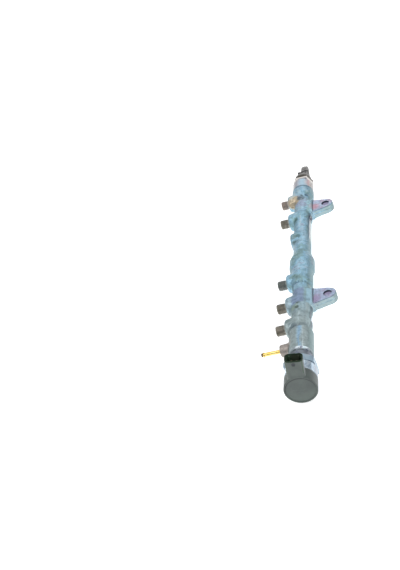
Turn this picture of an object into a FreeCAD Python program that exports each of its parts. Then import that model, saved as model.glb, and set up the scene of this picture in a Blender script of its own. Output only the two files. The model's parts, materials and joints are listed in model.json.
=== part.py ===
import FreeCAD, Part
import Sketcher
import math
import os

# Diesel common rail: a forged and zinc plated pressure pipe with five screwed pipe
# connections, two bolt lugs, a return union, a pressure sensor at one end and a
# pressure control valve at the other.
# Frame in millimetres: the lug bolts run along Z and sit on a line along Y, the lugs
# seat on the plane Z = 0, and the rail lies along Y with the sensor at the +Y end.

Vec = FreeCAD.Vector
doc = FreeCAD.newDocument("fuel_rail")
sheet = doc.addObject("Spreadsheet::Sheet", "Sizes")
sheet_rows = []


class Size:
    """A length or angle that keeps its number and the expression it comes from."""

    def __init__(self, value, text):
        self.value = float(value)
        self.text = text

    def __add__(self, other):
        other = as_size(other)
        return Size(self.value + other.value, "(%s + %s)" % (self.text, other.text))

    def __sub__(self, other):
        other = as_size(other)
        return Size(self.value - other.value, "(%s - %s)" % (self.text, other.text))

    def __mul__(self, other):
        other = as_size(other)
        return Size(self.value * other.value, "(%s * %s)" % (self.text, other.text))

    def __truediv__(self, other):
        other = as_size(other)
        return Size(self.value / other.value, "(%s / %s)" % (self.text, other.text))

    def __neg__(self):
        return Size(-self.value, "(-%s)" % self.text)


def as_size(thing):
    if isinstance(thing, Size):
        return thing
    return Size(thing, repr(float(thing)))


def cosine(angle):
    angle = as_size(angle)
    return Size(math.cos(math.radians(angle.value)), "cos(%s)" % angle.text)


def sine(angle):
    angle = as_size(angle)
    return Size(math.sin(math.radians(angle.value)), "sin(%s)" % angle.text)


def tangent(angle):
    angle = as_size(angle)
    return Size(math.tan(math.radians(angle.value)), "tan(%s)" % angle.text)


def size(alias, value, note):
    """Write one driving dimension into the sheet and return it."""
    sheet_rows.append(alias)
    row = len(sheet_rows)
    sheet.set("A%d" % row, note)
    sheet.set("B%d" % row, str(value))
    sheet.setAlias("B%d" % row, alias)
    return Size(value, "Sizes." + alias)


# Bolt lugs
lug_offset = size("lug_offset", 30.5, "rail axis to the line of the lug bolts")
lug_pitch = size("lug_pitch", 191.6, "distance between the two lug bolts")
lug_thickness = size("lug_thickness", 10.6, "lug thickness")
lug_hole = size("lug_hole", 9.0, "lug hole diameter for an M8 bolt")
lug_tip_radius = size("lug_tip_radius", 9.6, "radius of the lug tip round the hole")
lug_root_half = size("lug_root_half", 16.4, "half width of the lug at the rail")
lug_root_depth = size("lug_root_depth", 5.0, "where the lug starts inside the rail, from the axis")
lug_edge = size("lug_edge", 1.0, "rounding of the forged lug edges")
lug_web_reach = size("lug_web_reach", 14.2, "rail axis to the step where the machined lug face ends")
lug_web_half = size("lug_web_half", 13.5, "half width of the raised web behind that step")
lug_web_height = size("lug_web_height", 15.6, "thickness of the raised web")
lug_web_rounding = size("lug_web_rounding", 2.2, "rounding of the raised web")

# Forged pipe
neck_diameter = size("neck_diameter", 21.4, "outer diameter of the pipe between the bosses")
bore_diameter = size("bore_diameter", 10.0, "high pressure bore")
mid_swell_diameter = size("mid_swell_diameter", 29.6, "largest diameter of the middle swell")
mid_swell_far = size("mid_swell_far", -4.0, "station where the middle swell starts")
mid_swell_crown_far = size("mid_swell_crown_far", -20.0, "station where the swell reaches its crown")
mid_swell_crown_near = size("mid_swell_crown_near", -34.0, "station where the swell leaves its crown")
mid_sleeve_far = size("mid_sleeve_far", -42.0, "station where the swell turns into its shoulder")
mid_sleeve_near = size("mid_sleeve_near", -66.0, "station where the shoulder ends")
mid_sleeve_diameter = size("mid_sleeve_diameter", 25.6, "diameter of the shoulder of the swell")
mid_sleeve_slope = size("mid_sleeve_slope", 5.0, "length of the slope after the shoulder")
sensor_bulge_diameter = size("sensor_bulge_diameter", 27.8, "forged end of the pipe at the sensor")
sensor_bulge_near = size("sensor_bulge_near", 126.5, "station where the sensor bulge is full")
sensor_bulge_slope = size("sensor_bulge_slope", 6.0, "length of the slope up to the sensor bulge")
sensor_collar_near = size("sensor_collar_near", 142.0, "station where the turned sensor collar starts")
sensor_collar_diameter = size("sensor_collar_diameter", 26.4, "turned collar at the sensor end")
rail_far_end = size("rail_far_end", 159.7, "station of the end face at the sensor")
valve_barrel_diameter = size("valve_barrel_diameter", 26.6, "turned barrel at the valve end")
valve_barrel_far = size("valve_barrel_far", -153.0, "station where the valve barrel is full")
valve_barrel_slope = size("valve_barrel_slope", 3.0, "length of the slope up to the valve barrel")
rail_near_end = size("rail_near_end", -189.5, "station of the end face at the valve")
end_chamfer = size("end_chamfer", 0.8, "chamfer on the turned ends of the pipe")
cut_margin = size("cut_margin", 1.0, "how far joined and cut forms reach into each other")

# Pipe connections
nipple_1 = size("nipple_1", 122.2, "station of the first connection")
nipple_2 = size("nipple_2", 76.1, "station of the second connection")
nipple_3 = size("nipple_3", -56.1, "station of the third connection")
nipple_4 = size("nipple_4", -100.0, "station of the fourth connection")
nipple_5 = size("nipple_5", -138.9, "station of the fifth connection")
blank_boss = size("blank_boss", 28.0, "station of the boss that carries no connection")
nipple_diameter = size("nipple_diameter", 12.0, "thread diameter of the connections")
nipple_reach = size("nipple_reach", 27.9, "rail axis to the end of the connections")
nipple_chamfer = size("nipple_chamfer", 0.9, "chamfer at the end of the thread")
nipple_relief_width = size("nipple_relief_width", 1.6, "width of the groove behind the thread")
nipple_relief_depth = size("nipple_relief_depth", 0.8, "depth of the groove behind the thread")
seat_mouth = size("seat_mouth", 8.0, "mouth of the sealing cone in a connection")
seat_half_angle = size("seat_half_angle", 30.0, "half angle of the sealing cone")
port_diameter = size("port_diameter", 2.6, "passage from a connection to the bore")
throttle_diameter = size("throttle_diameter", 0.9, "throttle where the passage meets the bore")
throttle_length = size("throttle_length", 2.5, "length of the throttle")
boss_reach = size("boss_reach", 17.0, "rail axis to the flat of a boss")
inlet_boss_reach = size("inlet_boss_reach", 18.6, "rail axis to the flat of the first boss")
blank_boss_reach = size("blank_boss_reach", 13.2, "rail axis to the flat of the blank boss")
boss_draft = size("boss_draft", 9.0, "draft angle of the forged bosses")
bulb_radius = size("bulb_radius", 12.4, "radius of the ball shaped root of a boss")
bulb_shift = size("bulb_shift", 2.6, "the ball's centre, from the axis towards the boss")
boss_rounding = size("boss_rounding", 2.6, "rounding round the flat of a boss")

# Return union
return_station = size("return_station", -173.4, "station of the return union")
return_reach = size("return_reach", 22.4, "rail axis to the flat of the return boss")
return_diameter = size("return_diameter", 13.0, "diameter of the return boss")
return_draft = size("return_draft", 3.0, "draft angle of the return boss")
return_rounding = size("return_rounding", 1.4, "rounding round the flat of the return boss")
return_passage = size("return_passage", 2.6, "return passage into the valve chamber")
tail_diameter = size("tail_diameter", 4.4, "outer diameter of the hose tail")
tail_bore = size("tail_bore", 2.6, "bore of the hose tail")
tail_seat_depth = size("tail_seat_depth", 7.0, "how deep the hose tail is pressed in")
tail_reach = size("tail_reach", 43.2, "rail axis to the tip of the hose tail")
tail_bead_diameter = size("tail_bead_diameter", 5.9, "bead that holds the hose")
tail_bead_width = size("tail_bead_width", 2.2, "width of the bead")
tail_bead_setback = size("tail_bead_setback", 1.5, "plain tip in front of the bead")

# Valve port in the pipe
chamber_diameter = size("chamber_diameter", 16.0, "valve chamber")
chamber_bottom = size("chamber_bottom", -154.0, "sealing shoulder at the bottom of the chamber")
chamber_mouth = size("chamber_mouth", -182.0, "station where the valve thread starts")
valve_thread = size("valve_thread", 20.0, "thread diameter of the valve screw")
thread_gap = size("thread_gap", 0.2, "radial gap between mating threads as modelled")
guide_gap = size("guide_gap", 0.2, "radial gap between plug-in pieces and their holes")

# Valve screw
screw_neck_length = size("screw_neck_length", 2.6, "plain thread between the pipe end and the collar")
screw_collar_diameter = size("screw_collar_diameter", 25.2, "round collar of the valve screw")
screw_hex_far = size("screw_hex_far", -202.2, "far face of the hexagon")
screw_hex_height = size("screw_hex_height", 9.4, "height of the hexagon")
screw_hex_flats = size("screw_hex_flats", 32.0, "width of the hexagon across its flats")
screw_hex_turn = size("screw_hex_turn", 61.0, "direction of the first flat, from +X towards +Z")
hex_chamfer_angle = size("hex_chamfer_angle", 30.0, "chamfer angle on the hexagon corners")

# Valve body
stem_diameter = size("stem_diameter", 13.6, "stem of the valve body through the screw")
return_groove_depth = size("return_groove_depth", 1.6, "depth of the return groove")
return_groove_width = size("return_groove_width", 7.0, "width of the return groove")
seal_groove_depth = size("seal_groove_depth", 1.6, "depth of the O-ring groove")
seal_groove_width = size("seal_groove_width", 2.9, "width of the O-ring groove")
seal_groove_setback = size("seal_groove_setback", 1.2, "land between the O-ring groove and the shoulder")
support_ring_width = size("support_ring_width", 0.9, "width of the support ring beside the O-ring")
pole_diameter = size("pole_diameter", 10.0, "pole of the valve body inside the coil")
pole_length = size("pole_length", 6.0, "length of the pole above the magnet cup floor")
pin_diameter = size("pin_diameter", 3.0, "push pin")
pin_gap = size("pin_gap", 0.05, "radial running gap of the push pin and the armature")
seat_insert_diameter = size("seat_insert_diameter", 6.0, "seat insert in the nose of the valve body")
seat_insert_length = size("seat_insert_length", 4.5, "length of the seat insert")
seat_hole = size("seat_hole", 1.2, "hole of the seat insert")
ball_diameter = size("ball_diameter", 2.4, "valve ball")
seat_cone_half_angle = size("seat_cone_half_angle", 45.0, "half angle of the cone that the ball closes")
filter_diameter = size("filter_diameter", 8.8, "outer diameter of the filter cup")
filter_wall = size("filter_wall", 0.4, "wall of the filter cup")
filter_length = size("filter_length", 7.5, "length of the filter cup")
filter_seat_depth = size("filter_seat_depth", 1.5, "how deep the filter cup sits in the nose")

# Magnet group
cup_gap = size("cup_gap", 0.3, "gap between the hexagon and the magnet cup")
cup_diameter = size("cup_diameter", 34.0, "magnet cup, outer diameter")
cup_wall = size("cup_wall", 1.7, "wall of the magnet cup")
cup_floor = size("cup_floor", 3.0, "floor of the magnet cup")
cup_length = size("cup_length", 12.4, "length of the magnet cup")
cup_edge = size("cup_edge", 0.7, "chamfer on the rim of the magnet cup")
sleeve_wall = size("sleeve_wall", 0.6, "wall of the armature sleeve")
armature_gap = size("armature_gap", 0.9, "gap between the pole and the armature")
armature_length = size("armature_length", 9.0, "length of the armature")
pin_grip = size("pin_grip", 5.0, "how deep the push pin sits in the armature")
spring_gap = size("spring_gap", 0.4, "travel left between the armature and the spring")
spring_length = size("spring_length", 4.2, "length of the closing spring")
spring_diameter = size("spring_diameter", 6.2, "mean diameter of the closing spring")
spring_wire = size("spring_wire", 0.8, "wire of the closing spring")
spring_pitch = size("spring_pitch", 1.4, "pitch of the closing spring")
plug_length = size("plug_length", 1.6, "end plug of the armature sleeve")
bobbin_flange = size("bobbin_flange", 1.2, "flanges of the coil bobbin")
bobbin_wall = size("bobbin_wall", 1.0, "wall of the coil bobbin")
bobbin_length = size("bobbin_length", 18.2, "length of the coil bobbin")
bobbin_gap = size("bobbin_gap", 0.3, "radial gap between the bobbin flanges and the valve head")
winding_setback = size("winding_setback", 0.8, "winding below the edge of the bobbin flanges")
small_gap = size("small_gap", 0.1, "assembly gap between moulded and turned pieces")

# Valve head
head_diameter = size("head_diameter", 34.4, "moulded valve head")
head_far = size("head_far", -224.6, "rear rim of the valve head")
head_near = size("head_near", -239.7, "front face of the valve head")
head_wall = size("head_wall", 2.0, "wall of the valve head")
head_face_wall = size("head_face_wall", 3.0, "thickness of the head's front wall")
head_rounding = size("head_rounding", 0.7, "rounding of the head's front edge")
spigot_length = size("spigot_length", 5.0, "how deep the head reaches into the magnet cup")
plug_recess = size("plug_recess", 1.4, "recess for the sleeve in the head's front wall")
valve_plug_tilt = size("valve_plug_tilt", 9.0, "tilt of the valve's socket from +Z towards +X")
valve_plug_shift = size("valve_plug_shift", -2.6, "sideways place of the valve's socket")
valve_plug_width = size("valve_plug_width", 18.2, "outer width of the valve's socket")
valve_plug_depth = size("valve_plug_depth", 12.6, "outer depth of the valve's socket along the rail")
valve_plug_reach = size("valve_plug_reach", 37.4, "rail axis to the mouth of the valve's socket")
valve_plug_corner = size("valve_plug_corner", 4.2, "corner radius of the valve's socket")
valve_plug_setback = size("valve_plug_setback", 0.2, "socket wall behind the head's front face")
plug_wall = size("plug_wall", 1.3, "wall of both electrical sockets")
valve_plug_cavity = size("valve_plug_cavity", 16.0, "depth of the valve's socket")
latch_width = size("latch_width", 3.6, "width of the latch window")
latch_shift = size("latch_shift", -0.4, "latch window, sideways from the middle of the socket")
latch_height = size("latch_height", 4.2, "height of the latch window")
latch_drop = size("latch_drop", 2.8, "latch window below the mouth")
blade_width = size("blade_width", 1.6, "width of the contact blades")
blade_thickness = size("blade_thickness", 0.8, "thickness of the contact blades")
blade_pitch = size("blade_pitch", 5.0, "distance between the valve's contact blades")
blade_drop = size("blade_drop", 4.0, "contact tips below the mouth")

# Pressure sensor
sensor_port_bottom = size("sensor_port_bottom", 143.0, "sealing shoulder of the sensor port")
sensor_thread = size("sensor_thread", 18.0, "thread diameter of the sensor")
sensor_seat_gap = size("sensor_seat_gap", 0.3, "gap between the pipe end and the sensor hexagon")
sensor_nose_diameter = size("sensor_nose_diameter", 13.0, "sealing nose of the sensor")
sensor_nose_length = size("sensor_nose_length", 2.4, "length of the cone behind the sealing nose")
sensor_hex_height = size("sensor_hex_height", 11.0, "height of the sensor hexagon")
sensor_hex_flats = size("sensor_hex_flats", 24.0, "width of the sensor hexagon across its flats")
sensor_hex_turn = size("sensor_hex_turn", 88.0, "direction of the first flat, from +X towards +Z")
sensor_channel = size("sensor_channel", 3.0, "pressure channel of the sensor")
cell_diameter = size("cell_diameter", 8.4, "pressure cell")
cell_height = size("cell_height", 3.4, "height of the pressure cell")
membrane = size("membrane", 0.5, "membrane of the pressure cell")
sensor_recess = size("sensor_recess", 18.8, "recess in the sensor hexagon")
sensor_recess_depth = size("sensor_recess_depth", 4.8, "depth of the recess")
sensor_ledge_diameter = size("sensor_ledge_diameter", 14.8, "opening inside the ledge of the recess")
sensor_floor_depth = size("sensor_floor_depth", 8.0, "depth of the floor under the pressure cell")
board_thickness = size("board_thickness", 1.0, "circuit board")
board_hole = size("board_hole", 9.6, "hole in the circuit board round the cell")
plug_flange_diameter = size("plug_flange_diameter", 22.6, "flange of the sensor's moulded socket")
plug_flange_height = size("plug_flange_height", 7.0, "height of that flange")
plug_flange_slope = size("plug_flange_slope", 1.2, "chamfer on that flange")
plug_spigot_length = size("plug_spigot_length", 2.8, "spigot of the moulded socket in the recess")
ring_section = size("ring_section", 1.2, "section of the sensor's seal ring")
ring_groove_depth = size("ring_groove_depth", 1.3, "depth of the seal ring groove")
ring_groove_width = size("ring_groove_width", 1.5, "width of the seal ring groove")
sensor_plug_width = size("sensor_plug_width", 11.2, "outer width of the sensor's socket")
sensor_plug_height = size("sensor_plug_height", 10.4, "outer height of the sensor's socket")
sensor_plug_shift = size("sensor_plug_shift", 2.6, "sideways place of the sensor's socket")
sensor_plug_corner = size("sensor_plug_corner", 2.4, "corner radius of the sensor's socket")
sensor_plug_reach = size("sensor_plug_reach", 36.0, "sensor hexagon to the mouth of the socket")
sensor_plug_cavity = size("sensor_plug_cavity", 16.0, "depth of the sensor's socket")
sensor_blade_pitch = size("sensor_blade_pitch", 2.8, "distance between the sensor's contact blades")
sensor_blade_width = size("sensor_blade_width", 1.5, "width of the sensor's contact blades")
sensor_blade_thickness = size("sensor_blade_thickness", 0.6, "thickness of the sensor's contact blades")
sensor_blade_row = size("sensor_blade_row", -0.8, "height of the contact row in the sensor's socket")
ear_width = size("ear_width", 2.6, "locking ear beside the sensor's socket")
ear_height = size("ear_height", 2.8, "height of the locking ear above the flange")
ear_place = size("ear_place", 6.4, "locking ear, sideways from the sensor's axis")
latch_rib_width = size("latch_rib_width", 4.0, "width of the latch rib on the sensor's socket")
latch_rib_height = size("latch_rib_height", 1.1, "height of the latch rib")
latch_rib_length = size("latch_rib_length", 9.0, "length of the latch rib")

doc.recompute()

seat_height = lug_thickness / 2
axis_place = (-lug_offset, as_size(0), seat_height)


# Helpers that draw sketches and features from the sizes
def plane_of(body, role):
    for item in body.Origin.OriginFeatures:
        if item.Role == role:
            return item
    raise ValueError("no plane " + role)


def new_body(label, place=axis_place, turn=None):
    """A body of the assembly at its place; turn is an angle about the Y direction."""
    body = doc.addObject("PartDesign::Body", label)
    body.Label = label
    if turn is not None:
        body.Placement = FreeCAD.Placement(Vec(0, 0, 0), FreeCAD.Rotation(Vec(0, 1, 0), 1.0))
        body.setExpression("Placement.Rotation.Angle", turn.text + " * 1 deg")
    for letter, value in zip("xyz", place):
        body.setExpression("Placement.Base." + letter, value.text)
    return body


def new_sketch(body, role, name, lift=None):
    sketch = body.newObject("Sketcher::SketchObject", body.Name + "_" + name)
    sketch.AttachmentSupport = [(plane_of(body, role), "")]
    sketch.MapMode = "FlatFace"
    if lift is not None:
        sketch.setExpression("AttachmentOffset.Base.z", lift.text)
    return sketch


def bind(sketch, kind, geometry, vertex, value):
    """Fix one coordinate of a point to a size."""
    if value.text == "0.0":
        axis = -2 if kind == "DistanceX" else -1
        sketch.addConstraint(Sketcher.Constraint("PointOnObject", geometry, vertex, axis))
        return
    index = sketch.addConstraint(Sketcher.Constraint(kind, -1, 1, geometry, vertex, value.value))
    sketch.setExpression("Constraints[%d]" % index, value.text)


def draw(sketch, nodes):
    """Closed outline; a node is (x, y), or (x, y, cx, cy, r, turn) where an arc leaves it."""
    points = [tuple(as_size(v) for v in node[:5]) + tuple(node[5:]) for node in nodes]
    count = len(points)
    first = sketch.GeometryCount
    for i, node in enumerate(points):
        after = points[(i + 1) % count]
        start = Vec(node[0].value, node[1].value, 0)
        end = Vec(after[0].value, after[1].value, 0)
        if len(node) == 2:
            sketch.addGeometry(Part.LineSegment(start, end), False)
            continue
        centre = Vec(node[2].value, node[3].value, 0)
        a = math.atan2(start.y - centre.y, start.x - centre.x)
        b = math.atan2(end.y - centre.y, end.x - centre.x)
        circle = Part.Circle(centre, Vec(0, 0, 1), node[4].value)
        if node[5] == "left":
            sketch.addGeometry(Part.ArcOfCircle(circle, a, b), False)
        else:
            sketch.addGeometry(Part.ArcOfCircle(circle, b, a), False)

    def ends(i):
        if len(points[i]) > 2 and points[i][5] == "right":
            return 2, 1
        return 1, 2

    for i in range(count):
        after = (i + 1) % count
        joint = Sketcher.Constraint("Coincident", first + i, ends(i)[1], first + after, ends(after)[0])
        sketch.addConstraint(joint)
    for i, node in enumerate(points):
        before = points[i - 1]
        arcs = [p for p in (before, node) if len(p) > 2]
        if not arcs:
            bind(sketch, "DistanceX", first + i, ends(i)[0], node[0])
            bind(sketch, "DistanceY", first + i, ends(i)[0], node[1])
            continue
        arc = arcs[-1]
        across = abs(node[0].value - arc[2].value)
        along = abs(node[1].value - arc[3].value)
        if across > along:
            bind(sketch, "DistanceY", first + i, ends(i)[0], node[1])
        else:
            bind(sketch, "DistanceX", first + i, ends(i)[0], node[0])
    for i, node in enumerate(points):
        if len(node) > 2:
            bind(sketch, "DistanceX", first + i, 3, node[2])
            bind(sketch, "DistanceY", first + i, 3, node[3])
            radius = Sketcher.Constraint("Radius", first + i, node[4].value)
            index = sketch.addConstraint(radius)
            sketch.setExpression("Constraints[%d]" % index, node[4].text)


def draw_circle(sketch, x, y, radius):
    x, y = as_size(x), as_size(y)
    circle = Part.Circle(Vec(x.value, y.value, 0), Vec(0, 0, 1), radius.value)
    index = sketch.addGeometry(circle, False)
    bind(sketch, "DistanceX", index, 3, x)
    bind(sketch, "DistanceY", index, 3, y)
    constraint = sketch.addConstraint(Sketcher.Constraint("Radius", index, radius.value))
    sketch.setExpression("Constraints[%d]" % constraint, radius.text)


def draw_box(sketch, x, y, width, height, corner=None):
    """Rectangle by its centre, with rounded corners when a corner radius is given."""
    x, y, half, rise = as_size(x), as_size(y), as_size(width) / 2, as_size(height) / 2
    left, right, low, high = x - half, x + half, y - rise, y + rise
    if corner is None:
        draw(sketch, [(left, low), (right, low), (right, high), (left, high)])
        return
    c = corner
    draw(sketch, [
        (left + c, low), (right - c, low, right - c, low + c, c, "left"),
        (right, low + c), (right, high - c, right - c, high - c, c, "left"),
        (right - c, high), (left + c, high, left + c, high - c, c, "left"),
        (left, high - c), (left, low + c, left + c, low + c, c, "left"),
    ])


def hexagon(flats, turn):
    """Corners of a hexagon in the X-Z plane, the first flat facing the direction turn."""
    corner = flats / 2 / cosine(30)
    return [(corner * cosine(turn + 30 + 60 * k), corner * sine(turn + 30 + 60 * k)) for k in range(6)]


def turned(body, name, profile, cut=False):
    """Solid or cut of revolution about the rail axis from (radius, station) nodes."""
    sketch = new_sketch(body, "XY_Plane", name + "_profile")
    draw(sketch, profile)
    kind = "PartDesign::Groove" if cut else "PartDesign::Revolution"
    feature = body.newObject(kind, body.Name + "_" + name)
    feature.Profile = sketch
    feature.ReferenceAxis = (sketch, ["V_Axis"])
    feature.Angle = 360
    return feature


def turned_across(body, name, station, profile, cut=False):
    """Solid or cut of revolution about a line along X at the station, nodes (x, radius)."""
    sketch = new_sketch(body, "XY_Plane", name + "_profile")
    nodes = []
    for node in profile:
        moved = (node[0], as_size(node[1]) + station)
        if len(node) > 2:
            moved = moved + (node[2], as_size(node[3]) + station) + node[4:]
        nodes.append(moved)
    draw(sketch, nodes)
    line = Part.LineSegment(Vec(-1, station.value, 0), Vec(1, station.value, 0))
    index = sketch.addGeometry(line, True)
    sketch.addConstraint(Sketcher.Constraint("Horizontal", index))
    bind(sketch, "DistanceY", index, 1, station)
    bind(sketch, "DistanceX", index, 1, as_size(-1))
    bind(sketch, "DistanceX", index, 2, as_size(1))
    kind = "PartDesign::Groove" if cut else "PartDesign::Revolution"
    feature = body.newObject(kind, body.Name + "_" + name)
    feature.Profile = sketch
    feature.ReferenceAxis = (sketch, ["Axis0"])
    feature.Angle = 360
    return feature


def extruded(body, name, sketch, length=None, cut=False, reverse=False, middle=False):
    kind = "PartDesign::Pocket" if cut else "PartDesign::Pad"
    feature = body.newObject(kind, body.Name + "_" + name)
    feature.Profile = sketch
    if length is None:
        feature.Type = "ThroughAll"
    else:
        feature.setExpression("Length", length.text)
    feature.Reversed = reverse
    feature.Midplane = middle
    return feature


def rounded(body, name, base, keep, radius, kind="PartDesign::Fillet"):
    """Round or chamfer those edges of the base feature that keep() picks."""
    doc.recompute()
    names = ["Edge%d" % (i + 1) for i, edge in enumerate(base.Shape.Edges) if keep(edge)]
    feature = body.newObject(kind, body.Name + "_" + name)
    feature.Base = (base, names)
    feature.setExpression("Radius" if kind.endswith("Fillet") else "Size", radius.text)
    return feature


def ring_at_x(x, radius):
    """Test for a circular edge about a line along X."""
    def keep(edge):
        curve = edge.Curve
        return (isinstance(curve, Part.Circle) and abs(abs(curve.Axis.x) - 1) < 1e-6
                and abs(curve.Center.x - x.value) < 1e-4 and abs(curve.Radius - radius.value) < 1e-4)
    return keep


def ring_at_y(y, radius):
    """Test for a circular edge about the rail axis."""
    def keep(edge):
        curve = edge.Curve
        return (isinstance(curve, Part.Circle) and abs(abs(curve.Axis.y) - 1) < 1e-6
                and abs(curve.Center.y - y.value) < 1e-4 and abs(curve.Radius - radius.value) < 1e-4)
    return keep


def tube(body, name, inner, outer, y0, y1):
    return turned(body, name, [(inner, y0), (outer, y0), (outer, y1), (inner, y1)])


def rod(body, name, radius, y0, y1):
    return turned(body, name, [(0, y0), (radius, y0), (radius, y1), (0, y1)])


# Forged rail body: the pipe with its swells, revolved about the rail axis
rail = new_body("rail_body")
neck = neck_diameter / 2
swell = mid_swell_diameter / 2
sleeve = mid_sleeve_diameter / 2
bulge = sensor_bulge_diameter / 2
collar = sensor_collar_diameter / 2
barrel = valve_barrel_diameter / 2
turned(rail, "pipe", [
    (0, rail_near_end), (barrel - end_chamfer, rail_near_end), (barrel, rail_near_end + end_chamfer),
    (barrel, valve_barrel_far), (neck, valve_barrel_far + valve_barrel_slope),
    (neck, mid_sleeve_near - mid_sleeve_slope), (sleeve, mid_sleeve_near),
    (sleeve, mid_sleeve_far), (swell, mid_swell_crown_near), (swell, mid_swell_crown_far),
    (neck, mid_swell_far), (neck, sensor_bulge_near - sensor_bulge_slope),
    (bulge, sensor_bulge_near), (bulge, sensor_collar_near), (collar, sensor_collar_near),
    (collar, rail_far_end - end_chamfer), (collar - end_chamfer, rail_far_end), (0, rail_far_end),
])

# Two lugs: a tapered plate that narrows to a round tip about the bolt hole
half_pitch = lug_pitch / 2
lug_run = lug_offset - lug_root_depth
lean = math.degrees(math.asin(lug_tip_radius.value / math.hypot(lug_run.value, lug_root_half.value))
                    - math.atan2(lug_root_half.value, lug_run.value))
lug = new_sketch(rail, "XY_Plane", "lug_outline")
lug_root = lug.addGeometry(Part.LineSegment(
    Vec(lug_root_depth.value, half_pitch.value + lug_root_half.value, 0),
    Vec(lug_root_depth.value, half_pitch.value - lug_root_half.value, 0)), False)
tip_angle = math.radians(90 + lean)
tip_x = lug_offset.value + lug_tip_radius.value * math.cos(tip_angle)
tip_y = lug_tip_radius.value * math.sin(tip_angle)
lug_low = lug.addGeometry(Part.LineSegment(
    Vec(lug_root_depth.value, half_pitch.value - lug_root_half.value, 0),
    Vec(tip_x, half_pitch.value - tip_y, 0)), False)
lug_tip = lug.addGeometry(Part.ArcOfCircle(
    Part.Circle(Vec(lug_offset.value, half_pitch.value, 0), Vec(0, 0, 1), lug_tip_radius.value),
    -tip_angle, tip_angle), False)
lug_high = lug.addGeometry(Part.LineSegment(
    Vec(tip_x, half_pitch.value + tip_y, 0),
    Vec(lug_root_depth.value, half_pitch.value + lug_root_half.value, 0)), False)
lug.addConstraint(Sketcher.Constraint("Coincident", lug_root, 2, lug_low, 1))
lug.addConstraint(Sketcher.Constraint("Coincident", lug_high, 2, lug_root, 1))
lug.addConstraint(Sketcher.Constraint("Tangent", lug_low, 2, lug_tip, 1))
lug.addConstraint(Sketcher.Constraint("Tangent", lug_tip, 2, lug_high, 1))
bind(lug, "DistanceX", lug_root, 1, lug_root_depth)
bind(lug, "DistanceX", lug_root, 2, lug_root_depth)
bind(lug, "DistanceY", lug_root, 1, half_pitch + lug_root_half)
bind(lug, "DistanceY", lug_root, 2, half_pitch - lug_root_half)
bind(lug, "DistanceX", lug_tip, 3, lug_offset)
bind(lug, "DistanceY", lug_tip, 3, half_pitch)
tip_size = lug.addConstraint(Sketcher.Constraint("Radius", lug_tip, lug_tip_radius.value))
lug.setExpression("Constraints[%d]" % tip_size, lug_tip_radius.text)
lug_pad = extruded(rail, "lug", lug, lug_thickness, middle=True)
doc.recompute()
lug_pair = rail.newObject("PartDesign::Mirrored", "rail_body_lug_pair")
lug_pair.Originals = [lug_pad]
lug_pair.MirrorPlane = (plane_of(rail, "XZ_Plane"), [""])
rail.Tip = lug_pair


def lug_rim(edge):
    """The rims of the lug faces, from the pipe round the tip and back."""
    levels = [abs(abs(v.Z) - lug_thickness.value / 2) < 1e-4 for v in edge.Vertexes]
    return all(levels) and edge.BoundBox.XMax > lug_offset.value / 2


rounded(rail, "lug_rim", lug_pair, lug_rim, lug_edge)

# Raised webs that carry the lugs: the bolt faces are machined down to this step
web = new_sketch(rail, "XY_Plane", "web_outline")
draw(web, [
    (lug_root_depth, half_pitch + lug_web_half), (lug_root_depth, half_pitch - lug_web_half),
    (lug_web_reach, half_pitch - lug_web_half + lug_web_rounding),
    (lug_web_reach, half_pitch + lug_web_half - lug_web_rounding),
])
web_pad = extruded(rail, "web", web, lug_web_height, middle=True)
doc.recompute()
web_pair = rail.newObject("PartDesign::Mirrored", "rail_body_web_pair")
web_pair.Originals = [web_pad]
web_pair.MirrorPlane = (plane_of(rail, "XZ_Plane"), [""])
rail.Tip = web_pair


def web_rim(edge):
    """The outer rims of the raised webs."""
    ends = [abs(abs(v.Z) - lug_web_height.value / 2) < 1e-4 for v in edge.Vertexes]
    return all(ends) and edge.BoundBox.XMax > lug_web_reach.value - 1e-3


rounded(rail, "web_rim", web_pair, web_rim, lug_web_rounding)


# Bosses: a ball shaped root, a drafted cone, a flat, and on it the turned connection
def boss_nodes(reach, ball, shift, draft, back):
    """Nodes from the back of the ball to the edge of the flat; x runs towards -X."""
    meet_x = -shift - ball * sine(draft)
    meet_r = ball * cosine(draft)
    flat_r = ball / cosine(draft) - (reach - shift) * tangent(draft)
    return [(back, as_size(0), -shift, as_size(0), ball, "left"), (meet_x, meet_r), (-reach, flat_r)], flat_r


def boss(name, station, reach, nipple):
    nodes, flat_r = boss_nodes(reach, bulb_radius, bulb_shift, boss_draft, bulb_radius - bulb_shift)
    if nipple:
        thread = nipple_diameter / 2
        root = thread - nipple_relief_depth
        relief = -reach - nipple_relief_width
        end = -nipple_reach
        nodes = nodes + [
            (-reach, root), (relief, root), (relief - nipple_relief_depth, thread),
            (end + nipple_chamfer, thread), (end, thread - nipple_chamfer), (end, as_size(0)),
        ]
    else:
        nodes = nodes + [(-reach, as_size(0))]
    feature = turned_across(rail, name, station, nodes)
    return rounded(rail, name + "_edge", feature, both(ring_at_x(-reach, flat_r), near_y(station)), boss_rounding)


def near_y(station):
    def keep(edge):
        return abs(edge.Curve.Center.y - station.value) < 1e-3
    return keep


def both(one, two):
    def keep(edge):
        return one(edge) and two(edge)
    return keep


boss("connection_1", nipple_1, inlet_boss_reach, True)
boss("connection_2", nipple_2, boss_reach, True)
boss("connection_3", nipple_3, boss_reach, True)
boss("connection_4", nipple_4, boss_reach, True)
boss("connection_5", nipple_5, boss_reach, True)
boss("blank_boss", blank_boss, blank_boss_reach, False)

# Return boss: a slim drafted cone that stands on the valve barrel
return_root = return_diameter / 2 + return_reach * tangent(return_draft)
return_boss = turned_across(rail, "return_boss", return_station, [
    (0, 0), (0, return_root), (-return_reach, return_diameter / 2), (-return_reach, 0),
])
return_edge = both(ring_at_x(-return_reach, return_diameter / 2), near_y(return_station))
rounded(rail, "return_boss_edge", return_boss, return_edge, return_rounding)

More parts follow.
